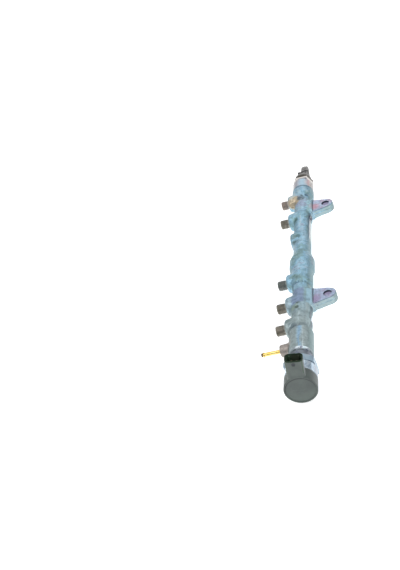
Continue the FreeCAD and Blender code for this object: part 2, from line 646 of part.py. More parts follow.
# Bore through the pipe with the sensor port and the valve chamber
bore = bore_diameter / 2
sensor_bore = sensor_thread / 2
chamber = chamber_diameter / 2
valve_bore = valve_thread / 2
turned(rail, "bore", [
    (0, rail_near_end - cut_margin), (valve_bore + end_chamfer, rail_near_end - cut_margin),
    (valve_bore + end_chamfer, rail_near_end), (valve_bore, rail_near_end + end_chamfer),
    (valve_bore, chamber_mouth), (chamber, chamber_mouth), (chamber, chamber_bottom),
    (bore, chamber_bottom), (bore, sensor_port_bottom), (sensor_bore, sensor_port_bottom),
    (sensor_bore, rail_far_end - end_chamfer), (sensor_bore + end_chamfer, rail_far_end),
    (sensor_bore + end_chamfer, rail_far_end + cut_margin), (0, rail_far_end + cut_margin),
], cut=True)


# Sealing cone, passage and throttle of each connection
def port(name, station):
    mouth = seat_mouth / 2
    passage = port_diameter / 2
    throttle = throttle_diameter / 2
    cone = (mouth - passage) / tangent(seat_half_angle)
    inner = -bore - throttle_length
    turned_across(rail, name, station, [
        (-nipple_reach - cut_margin, 0), (-nipple_reach - cut_margin, mouth), (-nipple_reach, mouth),
        (-nipple_reach + cone, passage), (inner, passage), (inner, throttle), (0, throttle), (0, 0),
    ], cut=True)


port("port_1", nipple_1)
port("port_2", nipple_2)
port("port_3", nipple_3)
port("port_4", nipple_4)
port("port_5", nipple_5)
turned_across(rail, "return_port", return_station, [
    (-return_reach - cut_margin, 0), (-return_reach - cut_margin, tail_diameter / 2),
    (-return_reach + tail_seat_depth, tail_diameter / 2),
    (-return_reach + tail_seat_depth, return_passage / 2), (0, return_passage / 2), (0, 0),
], cut=True)

# Bolt holes through the lugs
holes = new_sketch(rail, "XY_Plane", "lug_holes")
draw_circle(holes, lug_offset, half_pitch, lug_hole / 2)
draw_circle(holes, lug_offset, -half_pitch, lug_hole / 2)
extruded(rail, "lug_hole_pair", holes, cut=True, middle=True)

# Brass hose tail pressed into the return boss
tail = new_body("return_hose_tail", (-lug_offset, return_station, seat_height))
tail_r = tail_diameter / 2
bead_r = tail_bead_diameter / 2
bead_out = -tail_reach + tail_bead_setback
turned_across(tail, "tube", as_size(0), [
    (-return_reach + tail_seat_depth, tail_bore / 2), (-return_reach + tail_seat_depth, tail_r),
    (bead_out + tail_bead_width, tail_r), (bead_out + tail_bead_width / 2, bead_r),
    (bead_out, tail_r), (-tail_reach, tail_r), (-tail_reach, tail_bore / 2),
])

# Valve screw: thread, round collar and hexagon
screw = new_body("valve_screw")
screw_bore = stem_diameter / 2 + guide_gap
screw_thread = valve_bore - thread_gap
collar_face = rail_near_end - screw_neck_length
screw_nose = chamber_mouth - guide_gap
screw_collar = screw_collar_diameter / 2
hex_near = screw_hex_far - screw_hex_height
screw_round = turned(screw, "round", [
    (screw_bore, screw_nose), (screw_thread - end_chamfer, screw_nose),
    (screw_thread, screw_nose - end_chamfer), (screw_thread, collar_face),
    (screw_collar, collar_face), (screw_collar, screw_hex_far - cut_margin), (screw_bore, screw_hex_far - cut_margin),
])
screw_hex = new_sketch(screw, "XZ_Plane", "hexagon")
draw(screw_hex, hexagon(screw_hex_flats, screw_hex_turn))
draw_circle(screw_hex, 0, 0, screw_bore)
screw_hex.setExpression("AttachmentOffset.Base.z", (-screw_hex_far).text)
extruded(screw, "hexagon_pad", screw_hex, screw_hex_height)
corner = screw_hex_flats / 2 / cosine(30) + cut_margin
flat = screw_hex_flats / 2
slope = (corner - flat) * tangent(hex_chamfer_angle)
turned(screw, "hexagon_far_chamfer", [
    (flat, screw_hex_far + cut_margin), (corner, screw_hex_far + cut_margin), (corner, screw_hex_far - slope),
    (flat, screw_hex_far),
], cut=True)
turned(screw, "hexagon_near_chamfer", [
    (flat, hex_near - cut_margin), (corner, hex_near - cut_margin), (corner, hex_near + slope), (flat, hex_near),
], cut=True)

# Valve body: nose with sealing face, return groove, O-ring groove, stem and pole
cup_far = hex_near - cup_gap
cup_inner_floor = cup_far - cup_floor
cup_near = cup_far - cup_length
core = new_body("valve_body")
nose = chamber - guide_gap
stem = stem_diameter / 2
pole = pole_diameter / 2
pin_bore = pin_diameter / 2 + pin_gap
insert = seat_insert_diameter / 2
filter_r = filter_diameter / 2
groove_near = return_station - return_groove_width / 2
groove_far = return_station + return_groove_width / 2
shoulder = chamber_mouth
seal_near = shoulder + seal_groove_setback
seal_far = seal_near + seal_groove_width
filter_floor = chamber_bottom - filter_seat_depth
insert_end = filter_floor - seat_insert_length
pole_face = cup_inner_floor - pole_length
turned(core, "core", [
    (pin_bore, insert_end), (insert, insert_end), (insert, filter_floor), (filter_r, filter_floor),
    (filter_r, chamber_bottom), (nose, chamber_bottom), (nose, groove_far),
    (nose - return_groove_depth, groove_far), (nose - return_groove_depth, groove_near),
    (nose, groove_near), (nose, seal_far), (nose - seal_groove_depth, seal_far),
    (nose - seal_groove_depth, seal_near), (nose, seal_near), (nose, shoulder), (stem, shoulder),
    (stem, cup_inner_floor), (pole, cup_inner_floor), (pole, pole_face), (pin_bore, pole_face),
])
cross = new_sketch(core, "YZ_Plane", "cross_hole")
draw_circle(cross, return_station, 0, return_passage / 2)
extruded(core, "cross_drilling", cross, cut=True, middle=True)

# Seat insert with the cone that the ball closes
seat = new_body("valve_seat")
ball_r = ball_diameter / 2
cone_depth = (pin_bore - seat_hole / 2) / tangent(seat_cone_half_angle)
turned(seat, "insert", [
    (seat_hole / 2, filter_floor), (insert, filter_floor), (insert, insert_end),
    (pin_bore, insert_end), (seat_hole / 2, insert_end + cone_depth),
])
ball_centre = insert_end + cone_depth + seat_hole / 2 / tangent(seat_cone_half_angle)
ball_centre = ball_centre - ball_r / sine(seat_cone_half_angle)
ball = doc.addObject("Part::Sphere", "valve_ball")
ball.Label = "valve_ball"
ball.setExpression("Radius", ball_r.text)
ball.setExpression("Placement.Base.x", (-lug_offset).text)
ball.setExpression("Placement.Base.y", ball_centre.text)
ball.setExpression("Placement.Base.z", seat_height.text)

# Filter cup over the inlet of the valve
cup_filter = new_body("valve_filter")
filter_end = filter_floor + filter_length
turned(cup_filter, "cup", [
    (filter_r - filter_wall, filter_floor), (filter_r, filter_floor), (filter_r, filter_end - filter_wall),
    (filter_r - filter_wall, filter_end), (0, filter_end), (0, filter_end - filter_wall),
    (filter_r - filter_wall, filter_end - filter_wall),
])

# O-ring and support ring between the valve body and the chamber
seal_root = nose - seal_groove_depth
ring_space = chamber - seal_root
oring = doc.addObject("Part::Torus", "valve_o_ring")
oring.Label = "valve_o_ring"
oring_minor = (ring_space - small_gap) / 2
oring.setExpression("Radius1", (seal_root + ring_space / 2).text)
oring.setExpression("Radius2", oring_minor.text)
oring.Placement = FreeCAD.Placement(Vec(0, 0, 0), FreeCAD.Rotation(Vec(1, 0, 0), 90))
oring.setExpression("Placement.Base.x", (-lug_offset).text)
oring.setExpression("Placement.Base.y", (seal_far - oring_minor - small_gap).text)
oring.setExpression("Placement.Base.z", seat_height.text)
support = new_body("valve_support_ring")
tube(support, "ring", seal_root, chamber - small_gap, seal_near, seal_near + support_ring_width)

# Armature, push pin, sleeve, spring and end plug
sleeve_inner = pole
armature_r = pole - pin_gap
armature_far = pole_face - armature_gap
armature_near = armature_far - armature_length
spring_far = armature_near - spring_gap
spring_near = spring_far - spring_length
plug_near = spring_near - plug_length
armature = new_body("valve_armature")
turned(armature, "armature", [
    (0, armature_far - pin_grip), (pin_diameter / 2, armature_far - pin_grip),
    (pin_diameter / 2, armature_far), (armature_r, armature_far), (armature_r, armature_near),
    (0, armature_near),
])
pin = new_body("valve_push_pin")
rod(pin, "pin", pin_diameter / 2, ball_centre - ball_r, armature_far - pin_grip)
guide = new_body("valve_sleeve")
tube(guide, "tube", sleeve_inner, sleeve_inner + sleeve_wall, cup_inner_floor, plug_near)
plug = new_body("valve_sleeve_plug")
rod(plug, "plug", sleeve_inner, spring_near, plug_near)

helix = doc.addObject("Part::Helix", "valve_spring_path")
helix.setExpression("Pitch", spring_pitch.text)
helix.setExpression("Height", (spring_length - spring_wire).text)
helix.setExpression("Radius", (spring_diameter / 2).text)
wire = doc.addObject("Part::Circle", "valve_spring_wire")
wire.setExpression("Radius", (spring_wire / 2).text)
wire.Placement = FreeCAD.Placement(Vec(0, 0, 0), FreeCAD.Rotation(Vec(1, 0, 0), 90))
wire.setExpression("Placement.Base.x", (spring_diameter / 2).text)
spring = doc.addObject("Part::Sweep", "valve_spring")
spring.Label = "valve_spring"
spring.Sections = [wire]
spring.Spine = (helix, [])
spring.Solid = True
spring.Frenet = True
spring.Placement = FreeCAD.Placement(Vec(0, 0, 0), FreeCAD.Rotation(Vec(1, 0, 0), -90))
spring.setExpression("Placement.Base.x", (-lug_offset).text)
spring.setExpression("Placement.Base.y", (spring_near + spring_wire / 2).text)
spring.setExpression("Placement.Base.z", seat_height.text)

# Coil: bobbin and winding
bobbin = new_body("valve_bobbin")
bobbin_far = cup_inner_floor - small_gap
bobbin_near = bobbin_far - bobbin_length
bobbin_in = sleeve_inner + sleeve_wall + small_gap
bobbin_core = bobbin_in + bobbin_wall
bobbin_out = cup_diameter / 2 - cup_wall - small_gap - head_wall - bobbin_gap
turned(bobbin, "spool", [
    (bobbin_in, bobbin_far), (bobbin_out, bobbin_far), (bobbin_out, bobbin_far - bobbin_flange),
    (bobbin_core, bobbin_far - bobbin_flange), (bobbin_core, bobbin_near + bobbin_flange),
    (bobbin_out, bobbin_near + bobbin_flange), (bobbin_out, bobbin_near), (bobbin_in, bobbin_near),
])
winding = new_body("valve_winding")
tube(winding, "coil", bobbin_core, bobbin_out - winding_setback, bobbin_far - bobbin_flange,
     bobbin_near + bobbin_flange)

# Steel magnet cup
cup = new_body("valve_magnet_cup")
cup_r = cup_diameter / 2
cup_in = cup_r - cup_wall
turned(cup, "cup", [
    (stem, cup_far), (cup_r - cup_edge, cup_far), (cup_r, cup_far - cup_edge), (cup_r, cup_near + cup_edge),
    (cup_r - cup_edge, cup_near), (cup_in, cup_near), (cup_in, cup_inner_floor), (stem, cup_inner_floor),
])

# Moulded valve head with its electrical socket, which stands across the rail axis
head = new_body("valve_head", turn=valve_plug_tilt)
head_r = head_diameter / 2
head_in = cup_in - small_gap - head_wall
head_floor = head_near + head_face_wall
spigot_end = head_far + spigot_length
turned(head, "shell", [
    (0, head_near), (head_r - head_rounding, head_near, head_r - head_rounding, head_near + head_rounding,
                     head_rounding, "left"),
    (head_r, head_near + head_rounding), (head_r, head_far), (cup_in - small_gap, head_far),
    (cup_in - small_gap, spigot_end), (0, spigot_end),
])
plug_y = head_near + valve_plug_setback + valve_plug_depth / 2
socket = new_sketch(head, "XY_Plane", "socket_outline")
draw_box(socket, valve_plug_shift, plug_y, valve_plug_width, valve_plug_depth, valve_plug_corner)
extruded(head, "socket", socket, valve_plug_reach)
turned(head, "coil_space", [
    (0, spigot_end + cut_margin), (head_in, spigot_end + cut_margin), (head_in, head_floor),
    (bobbin_in, head_floor), (bobbin_in, head_floor - plug_recess), (0, head_floor - plug_recess),
], cut=True)
cavity = new_sketch(head, "XY_Plane", "socket_cavity", lift=valve_plug_reach)
draw_box(cavity, valve_plug_shift, plug_y, valve_plug_width - plug_wall * 2,
         valve_plug_depth - plug_wall * 2, valve_plug_corner - plug_wall)
extruded(head, "socket_space", cavity, valve_plug_cavity, cut=True)
window = new_sketch(head, "XZ_Plane", "latch_window")
window.setExpression("AttachmentOffset.Base.z", (-head_near).text)
draw_box(window, valve_plug_shift + latch_shift, valve_plug_reach - latch_drop - latch_height / 2, latch_width,
         latch_height)
extruded(head, "latch_opening", window, valve_plug_setback + plug_wall + cut_margin, cut=True)
slots = new_sketch(head, "XY_Plane", "blade_slots", lift=valve_plug_reach - valve_plug_cavity)
for side in (-1, 1):
    draw_box(slots, valve_plug_shift + blade_pitch / 2 * side, plug_y, blade_width, blade_thickness)
blade_root = head_in - cut_margin
extruded(head, "blade_slot_pair", slots, valve_plug_reach - valve_plug_cavity - blade_root, cut=True)


# Contact blades of the valve, each in its slot
def valve_blade(label, side):
    body = new_body(label, turn=valve_plug_tilt)
    sketch = new_sketch(body, "XY_Plane", "section", lift=head_in + small_gap)
    draw_box(sketch, valve_plug_shift + blade_pitch / 2 * side, plug_y, blade_width, blade_thickness)
    extruded(body, "blade", sketch, valve_plug_reach - blade_drop - head_in - small_gap)


valve_blade("valve_terminal_1", -1)
valve_blade("valve_terminal_2", 1)

# Sensor body: thread, sealing nose, hexagon with the recess for its electronics
sensor = new_body("sensor_body")
hex_base = rail_far_end + sensor_seat_gap
hex_top = hex_base + sensor_hex_height
shank = sensor_bore - thread_gap
tip = sensor_nose_diameter / 2
turned(sensor, "shank", [
    (0, sensor_port_bottom), (tip, sensor_port_bottom), (shank, sensor_port_bottom + sensor_nose_length),
    (shank, hex_base + cut_margin), (0, hex_base + cut_margin),
])
sensor_hex = new_sketch(sensor, "XZ_Plane", "hexagon")
sensor_hex.setExpression("AttachmentOffset.Base.z", (-hex_base).text)
draw(sensor_hex, hexagon(sensor_hex_flats, sensor_hex_turn))
extruded(sensor, "hexagon_pad", sensor_hex, sensor_hex_height, reverse=True)
s_corner = sensor_hex_flats / 2 / cosine(30) + cut_margin
s_flat = sensor_hex_flats / 2
s_slope = (s_corner - s_flat) * tangent(hex_chamfer_angle)
turned(sensor, "hexagon_base_chamfer", [
    (s_flat, hex_base - cut_margin), (s_corner, hex_base - cut_margin), (s_corner, hex_base + s_slope), (s_flat, hex_base),
], cut=True)
turned(sensor, "hexagon_top_chamfer", [
    (s_flat, hex_top + cut_margin), (s_corner, hex_top + cut_margin), (s_corner, hex_top - s_slope), (s_flat, hex_top),
], cut=True)
ledge = hex_top - sensor_recess_depth
cell_floor = hex_top - sensor_floor_depth
recess = sensor_recess / 2
channel = sensor_channel / 2
turned(sensor, "recess", [
    (0, sensor_port_bottom - cut_margin), (channel, sensor_port_bottom - cut_margin), (channel, cell_floor),
    (sensor_ledge_diameter / 2, cell_floor), (sensor_ledge_diameter / 2, ledge), (recess, ledge),
    (recess, hex_top + cut_margin), (0, hex_top + cut_margin),
], cut=True)

# Pressure cell and circuit board
cell = new_body("sensor_cell")
cell_top = cell_floor + cell_height
turned(cell, "cell", [
    (channel, cell_floor), (cell_diameter / 2, cell_floor), (cell_diameter / 2, cell_top), (0, cell_top),
    (0, cell_top - membrane), (channel, cell_top - membrane),
])
board = new_body("sensor_board")
tube(board, "board", board_hole / 2, recess - small_gap, ledge, ledge + board_thickness)

# Moulded sensor socket on its flange, with spigot, ear and latch rib
shell = new_body("sensor_socket")
flange_r = plug_flange_diameter / 2
flange_top = hex_top + plug_flange_height
spigot_r = recess - small_gap
spigot_low = hex_top - plug_spigot_length
ring_low = hex_top - plug_spigot_length / 2 - ring_groove_width / 2
ring_high = ring_low + ring_groove_width
turned(shell, "flange", [
    (0, spigot_low), (spigot_r, spigot_low), (spigot_r, ring_low), (spigot_r - ring_groove_depth, ring_low),
    (spigot_r - ring_groove_depth, ring_high), (spigot_r, ring_high), (spigot_r, hex_top), (flange_r, hex_top),
    (flange_r, flange_top - plug_flange_slope), (flange_r - plug_flange_slope, flange_top), (0, flange_top),
])
mouth_y = hex_top + sensor_plug_reach
outline = new_sketch(shell, "XZ_Plane", "socket_outline")
outline.setExpression("AttachmentOffset.Base.z", (-(flange_top - cut_margin)).text)
draw_box(outline, sensor_plug_shift, 0, sensor_plug_width, sensor_plug_height, sensor_plug_corner)
extruded(shell, "socket", outline, mouth_y - flange_top + cut_margin, reverse=True)
ear = new_sketch(shell, "XZ_Plane", "ear_outline")
ear.setExpression("AttachmentOffset.Base.z", (-(flange_top - cut_margin)).text)
draw_box(ear, -ear_place, ear_width, ear_width, ear_width)
extruded(shell, "ear", ear, ear_height + cut_margin, reverse=True)
rib = new_sketch(shell, "XZ_Plane", "latch_rib_outline")
rib.setExpression("AttachmentOffset.Base.z", (-(mouth_y - latch_rib_length)).text)
draw_box(rib, sensor_plug_shift, sensor_plug_height / 2, latch_rib_width, latch_rib_height * 2)
extruded(shell, "latch_rib", rib, latch_rib_length - latch_drop, reverse=True)
inside = new_sketch(shell, "XZ_Plane", "socket_cavity")
inside.setExpression("AttachmentOffset.Base.z", (-mouth_y).text)
draw_box(inside, sensor_plug_shift, 0, sensor_plug_width - plug_wall * 2,
         sensor_plug_height - plug_wall * 2, sensor_plug_corner - plug_wall)
extruded(shell, "socket_space", inside, sensor_plug_cavity, cut=True, reverse=True)
cavity_floor = mouth_y - sensor_plug_cavity
pins = new_sketch(shell, "XZ_Plane", "blade_slots")
pins.setExpression("AttachmentOffset.Base.z", (-cavity_floor).text)
for side in (-1, 0, 1):
    draw_box(pins, sensor_plug_shift + sensor_blade_pitch * side, sensor_blade_row,
             sensor_blade_width, sensor_blade_thickness)
extruded(shell, "blade_slot_row", pins, cavity_floor - spigot_low, cut=True, reverse=True)

# Seal ring on the spigot
ring_minor = ring_section / 2
seal = doc.addObject("Part::Torus", "sensor_seal_ring")
seal.Label = "sensor_seal_ring"
seal.setExpression("Radius1", (recess - ring_minor).text)
seal.setExpression("Radius2", ring_minor.text)
seal.Placement = FreeCAD.Placement(Vec(0, 0, 0), FreeCAD.Rotation(Vec(1, 0, 0), 90))
seal.setExpression("Placement.Base.x", (-lug_offset).text)
seal.setExpression("Placement.Base.y", ((ring_low + ring_high) / 2).text)
seal.setExpression("Placement.Base.z", seat_height.text)


# Contact blades of the sensor, each in its slot and ending above the board
def sensor_blade(label, side):
    body = new_body(label)
    sketch = new_sketch(body, "XZ_Plane", "section")
    sketch.setExpression("AttachmentOffset.Base.z", (-(ledge + board_thickness + small_gap)).text)
    draw_box(sketch, sensor_plug_shift + sensor_blade_pitch * side, sensor_blade_row,
             sensor_blade_width, sensor_blade_thickness)
    length = mouth_y - blade_drop - ledge - board_thickness - small_gap
    extruded(body, "blade", sketch, length, reverse=True)


sensor_blade("sensor_terminal_1", -1)
sensor_blade("sensor_terminal_2", 0)
sensor_blade("sensor_terminal_3", 1)

doc.recompute()

# Every feature has to be sound before the pieces are written
for item in doc.Objects:
    if "Invalid" in item.State or "Error" in item.State:
        raise RuntimeError("failed: %s %s" % (item.Name, item.State))
pieces = [item for item in doc.Objects if item.TypeId == "PartDesign::Body"]
pieces = pieces + [ball, oring, spring, seal]
os.makedirs("parts", exist_ok=True)
for item in pieces:
    shape = item.Shape
    if shape.isNull() or not shape.isValid() or len(shape.Solids) != 1:
        raise RuntimeError("unsound piece: %s, %d solids" % (item.Label, len(shape.Solids)))
    shape.exportStep("parts/%s.step" % item.Label)
    box = shape.BoundBox
    print("%-20s %10.1f mm3  x %7.1f %7.1f  y %7.1f %7.1f  z %6.1f %6.1f" % (
        item.Label, shape.Volume, box.XMin, box.XMax, box.YMin, box.YMax, box.ZMin, box.ZMax))
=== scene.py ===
import bmesh
import bpy
import json
import math
import numpy as np
from mathutils import Matrix, Vector


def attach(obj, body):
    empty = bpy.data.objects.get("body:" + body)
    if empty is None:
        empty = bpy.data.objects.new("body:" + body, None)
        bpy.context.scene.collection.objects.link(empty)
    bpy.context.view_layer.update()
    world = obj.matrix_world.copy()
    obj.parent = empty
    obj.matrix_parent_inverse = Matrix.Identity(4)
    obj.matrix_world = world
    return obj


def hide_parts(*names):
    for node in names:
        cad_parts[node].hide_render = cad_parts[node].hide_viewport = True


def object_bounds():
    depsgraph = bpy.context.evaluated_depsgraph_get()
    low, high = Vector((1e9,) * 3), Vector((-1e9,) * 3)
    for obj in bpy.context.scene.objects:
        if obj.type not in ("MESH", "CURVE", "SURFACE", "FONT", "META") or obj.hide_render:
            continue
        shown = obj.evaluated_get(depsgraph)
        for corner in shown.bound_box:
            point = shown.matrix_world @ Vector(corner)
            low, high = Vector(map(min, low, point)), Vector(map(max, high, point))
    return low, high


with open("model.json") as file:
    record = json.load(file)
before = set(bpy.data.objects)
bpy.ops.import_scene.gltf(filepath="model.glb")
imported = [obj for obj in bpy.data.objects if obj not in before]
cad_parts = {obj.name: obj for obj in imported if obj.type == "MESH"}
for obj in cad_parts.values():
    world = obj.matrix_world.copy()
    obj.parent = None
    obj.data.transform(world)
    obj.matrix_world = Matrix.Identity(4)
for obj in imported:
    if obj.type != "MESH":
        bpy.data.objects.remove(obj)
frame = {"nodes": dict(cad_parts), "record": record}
cad_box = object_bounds()

MM = 0.001
OFF = 30.5          # rail axis to the lug bolt line, mm
LIFT = 5.3          # seat plane to the rail axis, mm: half the thickness of a lug
AXIS = np.array([-OFF, 0, LIFT])    # the rail axis in the part's frame

# ---------------------------------------------------------------- sizes, as in the CAD, mm
PIPE = ((-190, 13.3), (-153, 13.3), (-150, 10.7), (-71, 10.7), (-66, 12.8), (-42, 12.8), (-34, 14.8),
        (-20, 14.8), (-4, 10.7), (120.5, 10.7), (126.5, 13.9), (170, 13.9))    # station, radius
FORGED = (-187.0, 142.0)    # ends of the forging
STATION_STEP = 0.25
STATION = np.arange(-200.0, 170.0, STATION_STEP)
# the pipe's profile, its corners softened
SPREAD = np.exp(-0.5 * (np.arange(-16, 17) * STATION_STEP / 0.9) ** 2)
RADIUS = np.convolve(np.pad(np.interp(STATION, *zip(*PIPE)), 16, mode="edge"), SPREAD / SPREAD.sum(), mode="valid")
SLOPE = 1.0 / np.sqrt(1.0 + np.gradient(RADIUS, STATION_STEP) ** 2)

CONNECTIONS = ((122.2, 18.6), (76.1, 17.0), (-56.1, 17.0), (-100.0, 17.0), (-138.9, 17.0))    # station, reach
BLANK_BOSS = (28.0, 13.2)
BOSS_AT, BOSS_REACH = np.array(sorted(CONNECTIONS + (BLANK_BOSS,))).T
BOSS_MID = (BOSS_AT[1:] + BOSS_AT[:-1]) / 2
BLANK = list(BOSS_AT).index(BLANK_BOSS[0])
BOSS_R, BOSS_ROOT, BOSS_DRAFT = 12.4, 2.6, math.radians(9.0)
THREAD_R, THREAD_ROOT, PITCH, THREAD_END = 6.0, 5.2, 1.5, 27.9

LUG_Y, LUG_R, LUG_STEP, BOLT_R, BOLT_LIP = 95.8, 9.6, 14.2, 4.5, 0.45
LUG_FOOT = (25.5, 16.4)     # from the bolt to the foot of the lug's side
STUB_Y, STUB_R, STUB_REACH, STUB_DRAFT = -173.4, 6.5, 22.4, math.radians(3.0)

HEAD_END, HEAD_FOOT, HEAD_R, TILT = -239.7, -224.6, 17.2, math.radians(9.0)
SOCKET_X, SOCKET_Y, SOCKET_TOP = -2.6, -233.2, 37.4
PLUG_X, PLUG_END = 2.6, 207.0


# ---------------------------------------------------------------- distance fields
# x, y and z are millimetres from the rail axis. A field is below 0 inside the piece.
DIAGONAL = 0.7071   # from a sum along two axes to the distance at 45 degrees
OUTSIDE = 20.0      # further off than any blend reaches


def smin(a, b, k):
    """The lesser field, blended where the two differ by less than k."""
    h = np.maximum(k - np.abs(a - b), 0.0) / k
    return np.minimum(a, b) - h * h * k * 0.25


def smax(a, b, k):
    return -smin(-a, -b, k)


def slab(v, low, high):
    """What lies between two planes."""
    return np.abs(v - (low + high) / 2) - (high - low) / 2


def prism(a, b, r):
    """What lies inside both fields, the edge between them rounded by r."""
    a, b = a + r, b + r
    return np.minimum(np.maximum(a, b), 0.0) + np.hypot(np.maximum(a, 0), np.maximum(b, 0)) - r


def round_box2(u, v, hu, hv, r):
    """Rectangle of half sizes hu and hv with corners of radius r."""
    return prism(np.abs(u) - hu, np.abs(v) - hv, r)


def bump_at(distance, width):
    """A smooth bump of height 1."""
    return np.exp(-(distance / width) ** 2)


def boss(x, y, z):
    """The bosses: a ball root that wraps the pipe, a drafted cone and a flat. Also each boss's reach."""
    which = np.searchsorted(BOSS_MID, y)
    dy = y - BOSS_AT[which]
    reach = BOSS_REACH[which]
    u, v = -x - BOSS_ROOT, np.hypot(dy, z)
    cone = u * math.sin(BOSS_DRAFT) + v * math.cos(BOSS_DRAFT) - BOSS_R
    ball = np.hypot(u, v) - BOSS_R
    body = np.where(u * math.cos(BOSS_DRAFT) - v * math.sin(BOSS_DRAFT) > 0, cone, ball)
    wrap = np.where(which == BLANK, OUTSIDE, np.hypot(np.hypot(x + 0.5, z), dy * 1.1) - 12.5)
    return smax(np.minimum(body, wrap), -x - reach, 3.2), reach


def add_lugs(d, x, y, z):
    """The webs and the lugs, with tapered sides that touch the round end."""
    along = np.abs(y) - LUG_Y
    web = prism(np.maximum(slab(x, 2.0, LUG_STEP), np.abs(along) - 13.5), np.abs(z) - 7.8, 2.2)
    d = smin(d, web, 3.4)
    qx, qy = x - OFF, np.abs(along)
    lean = math.asin(LUG_R / math.hypot(*LUG_FOOT)) - math.atan2(LUG_FOOT[1], LUG_FOOT[0])
    nx, ny = abs(math.sin(lean)), math.cos(lean)
    beyond = qx * ny - qy * nx
    edge = np.where(beyond > 0, np.hypot(qx, qy), qx * nx + qy * ny) - LUG_R
    plate = prism(np.maximum(edge, 4.0 - x), np.abs(z) - LIFT, 1.1)
    return smin(d, plate, 2.6)


def cut_lugs(d, x, y, z):
    """The milled lug faces with the step in front of the web, and the bolt holes."""
    along, depth = np.abs(y) - LUG_Y, LIFT - np.abs(z)
    milled = np.maximum(np.maximum(LUG_STEP - x, depth), np.abs(along) - 19.0)
    d = np.maximum(d, -milled)
    hole = np.hypot(x - OFF, along)
    d = np.maximum(d, BOLT_R - hole)
    return np.maximum(d, (BOLT_R + BOLT_LIP - hole - depth) * DIAGONAL)


def forging(x, y, z):
    """The forged rail."""
    rho = np.hypot(x, z)
    pipe = (rho - np.interp(y, STATION, RADIUS)) * np.interp(y, STATION, SLOPE)
    body, reach = boss(x, y, z)
    d = smin(pipe, body, 1.6)
    # a swelling beside the second web, with a round die mark on it
    swell = np.hypot(rho, (y + 113.0) * 0.75) - 12.3
    d = smin(d, swell, 1.0)
    eye = np.hypot(x + 1.4, (y + 116.5) * 0.8)
    d = d + np.where(z > 4.0, 0.45 * bump_at(eye, 1.7) - 0.28 * bump_at(eye - 3.5, 0.8), 0.0)
    d = add_lugs(d, x, y, z)
    # the uneven skin and the trimmed flash line, on the forged faces only
    wobble = (0.16 * np.sin(0.29 * x + 0.9 * np.sin(0.11 * y)) * np.sin(0.21 * y + 0.6)
              + 0.09 * np.sin(0.47 * z + 0.31 * y) * np.sin(0.38 * x - 0.17 * y))
    live = 1.0
    for ahead in (y + 151.0, 139.0 - y, (x + reach - 3.0) * 1.5):
        live = live / (1.0 + np.exp(-ahead))
    d = d - live * (wobble + 0.24 * bump_at(z, 0.9))
    d = cut_lugs(d, x, y, z)
    # return boss on the turned barrel
    stub = np.hypot(y - STUB_Y, z) - (STUB_R + (STUB_REACH + x) * math.tan(STUB_DRAFT))
    stub = smax(stub, -x - STUB_REACH, 2.0)
    d = smin(d, np.maximum(stub, x), 1.8)
    return np.maximum(d, slab(y, *FORGED))


def valve_head(x, y, z):
    """The valve's moulding with its two-way socket."""
    rho = np.hypot(x, z)
    drum = prism(rho - HEAD_R, slab(y, HEAD_END, HEAD_FOOT), 0.75)
    # a shallow dish in the front face leaves a rim
    drum = np.maximum(drum, -prism(rho - 15.6, slab(y, -242.0, -239.05), 0.1))
    # across and along the tilted socket
    across = x * math.cos(TILT) - z * math.sin(TILT) - SOCKET_X
    tall = x * math.sin(TILT) + z * math.cos(TILT)
    side = round_box2(across, y - SOCKET_Y, 9.1, 6.3, 4.2)
    d = smin(drum, prism(side, slab(tall, 0.0, SOCKET_TOP), 0.45), 1.0)
    d = smin(d, prism(side, slab(tall, 15.5, 18.0), 0.3), 0.8)
    space = prism(round_box2(across, y - SOCKET_Y, 7.8, 5.0, 2.9), slab(tall, 21.4, 45.0), 0.3)
    d = smax(d, -space, 0.35)
    for s in (-1, 1):
        key = np.maximum(np.abs(across - s * 4.6) - 0.55, slab(y, -229.2, -227.4))
        d = smin(d, prism(key, slab(tall, 21.0, 35.6), 0.2), 0.3)
    recess = np.maximum(np.abs(across + 0.4) - 1.5, np.abs(tall - 33.3) - 1.8)
    d = smax(d, -prism(recess, slab(y, -242.0, -238.9), 0.5), 0.5)
    # a mould gate in the middle of the face
    gate = prism(np.hypot(x - 1.0, z + 2.0) - 1.6, slab(y, -239.2, -238.0), 0.2)
    return smin(d, gate, 0.15)


def sensor_plug(x, y, z):
    """The sensor's moulding: a grooved flange and the three-way socket."""
    rho = np.hypot(x, z)
    flange = prism(rho - 11.3, slab(y, 170.9, 178.0), 0.5)
    flange = smax(flange, (rho - 11.3 + (y - 176.8)) * DIAGONAL, 0.3)
    flange = smax(flange, -(np.abs(rho - 11.5) + np.abs(y - 174.6) - 0.7) * DIAGONAL, 0.2)
    # the socket's nose tapers
    thin = np.clip((y - 192.0) / 15.0, 0.0, 1.0) * 0.55
    across = x - PLUG_X
    side = round_box2(across, z, 5.6 - thin, 5.2 - thin, 2.9)
    d = smin(flange, prism(side, slab(y, 172.0, PLUG_END), 0.9), 1.2)
    collar = round_box2(across, z, 5.6, 5.2, 2.0)
    ear = np.hypot(x + 6.4, z) - 1.3
    catch = np.maximum(np.abs(x + 4.8) - 1.9, np.abs(z - 3.0) - 1.7)
    rib = np.maximum(np.abs(across) - 2.0, slab(z, 3.0, 6.3))
    for shape, low, high, r, blend in ((collar, 175.0, 194.0, 0.5, 0.4), (ear, 173.0, 180.8, 0.4, 0.8),
                                       (catch, 189.6, 194.6, 0.4, 0.4), (rib, 198.0, 204.2, 0.3, 0.4)):
        d = smin(d, prism(shape, slab(y, low, high), r), blend)
    space = prism(round_box2(across, z, 4.3, 3.9, 1.1), slab(y, 191.0, 215.0), 0.25)
    return smax(d, -space, 0.3)


# ---------------------------------------------------------------- meshes
PULL, ROAM = 0.06, 0.75     # a vertex's pull to the mean of its crossings, and how many steps it may leave it
EDGE_COS, POOR_COS = 0.86, 0.6


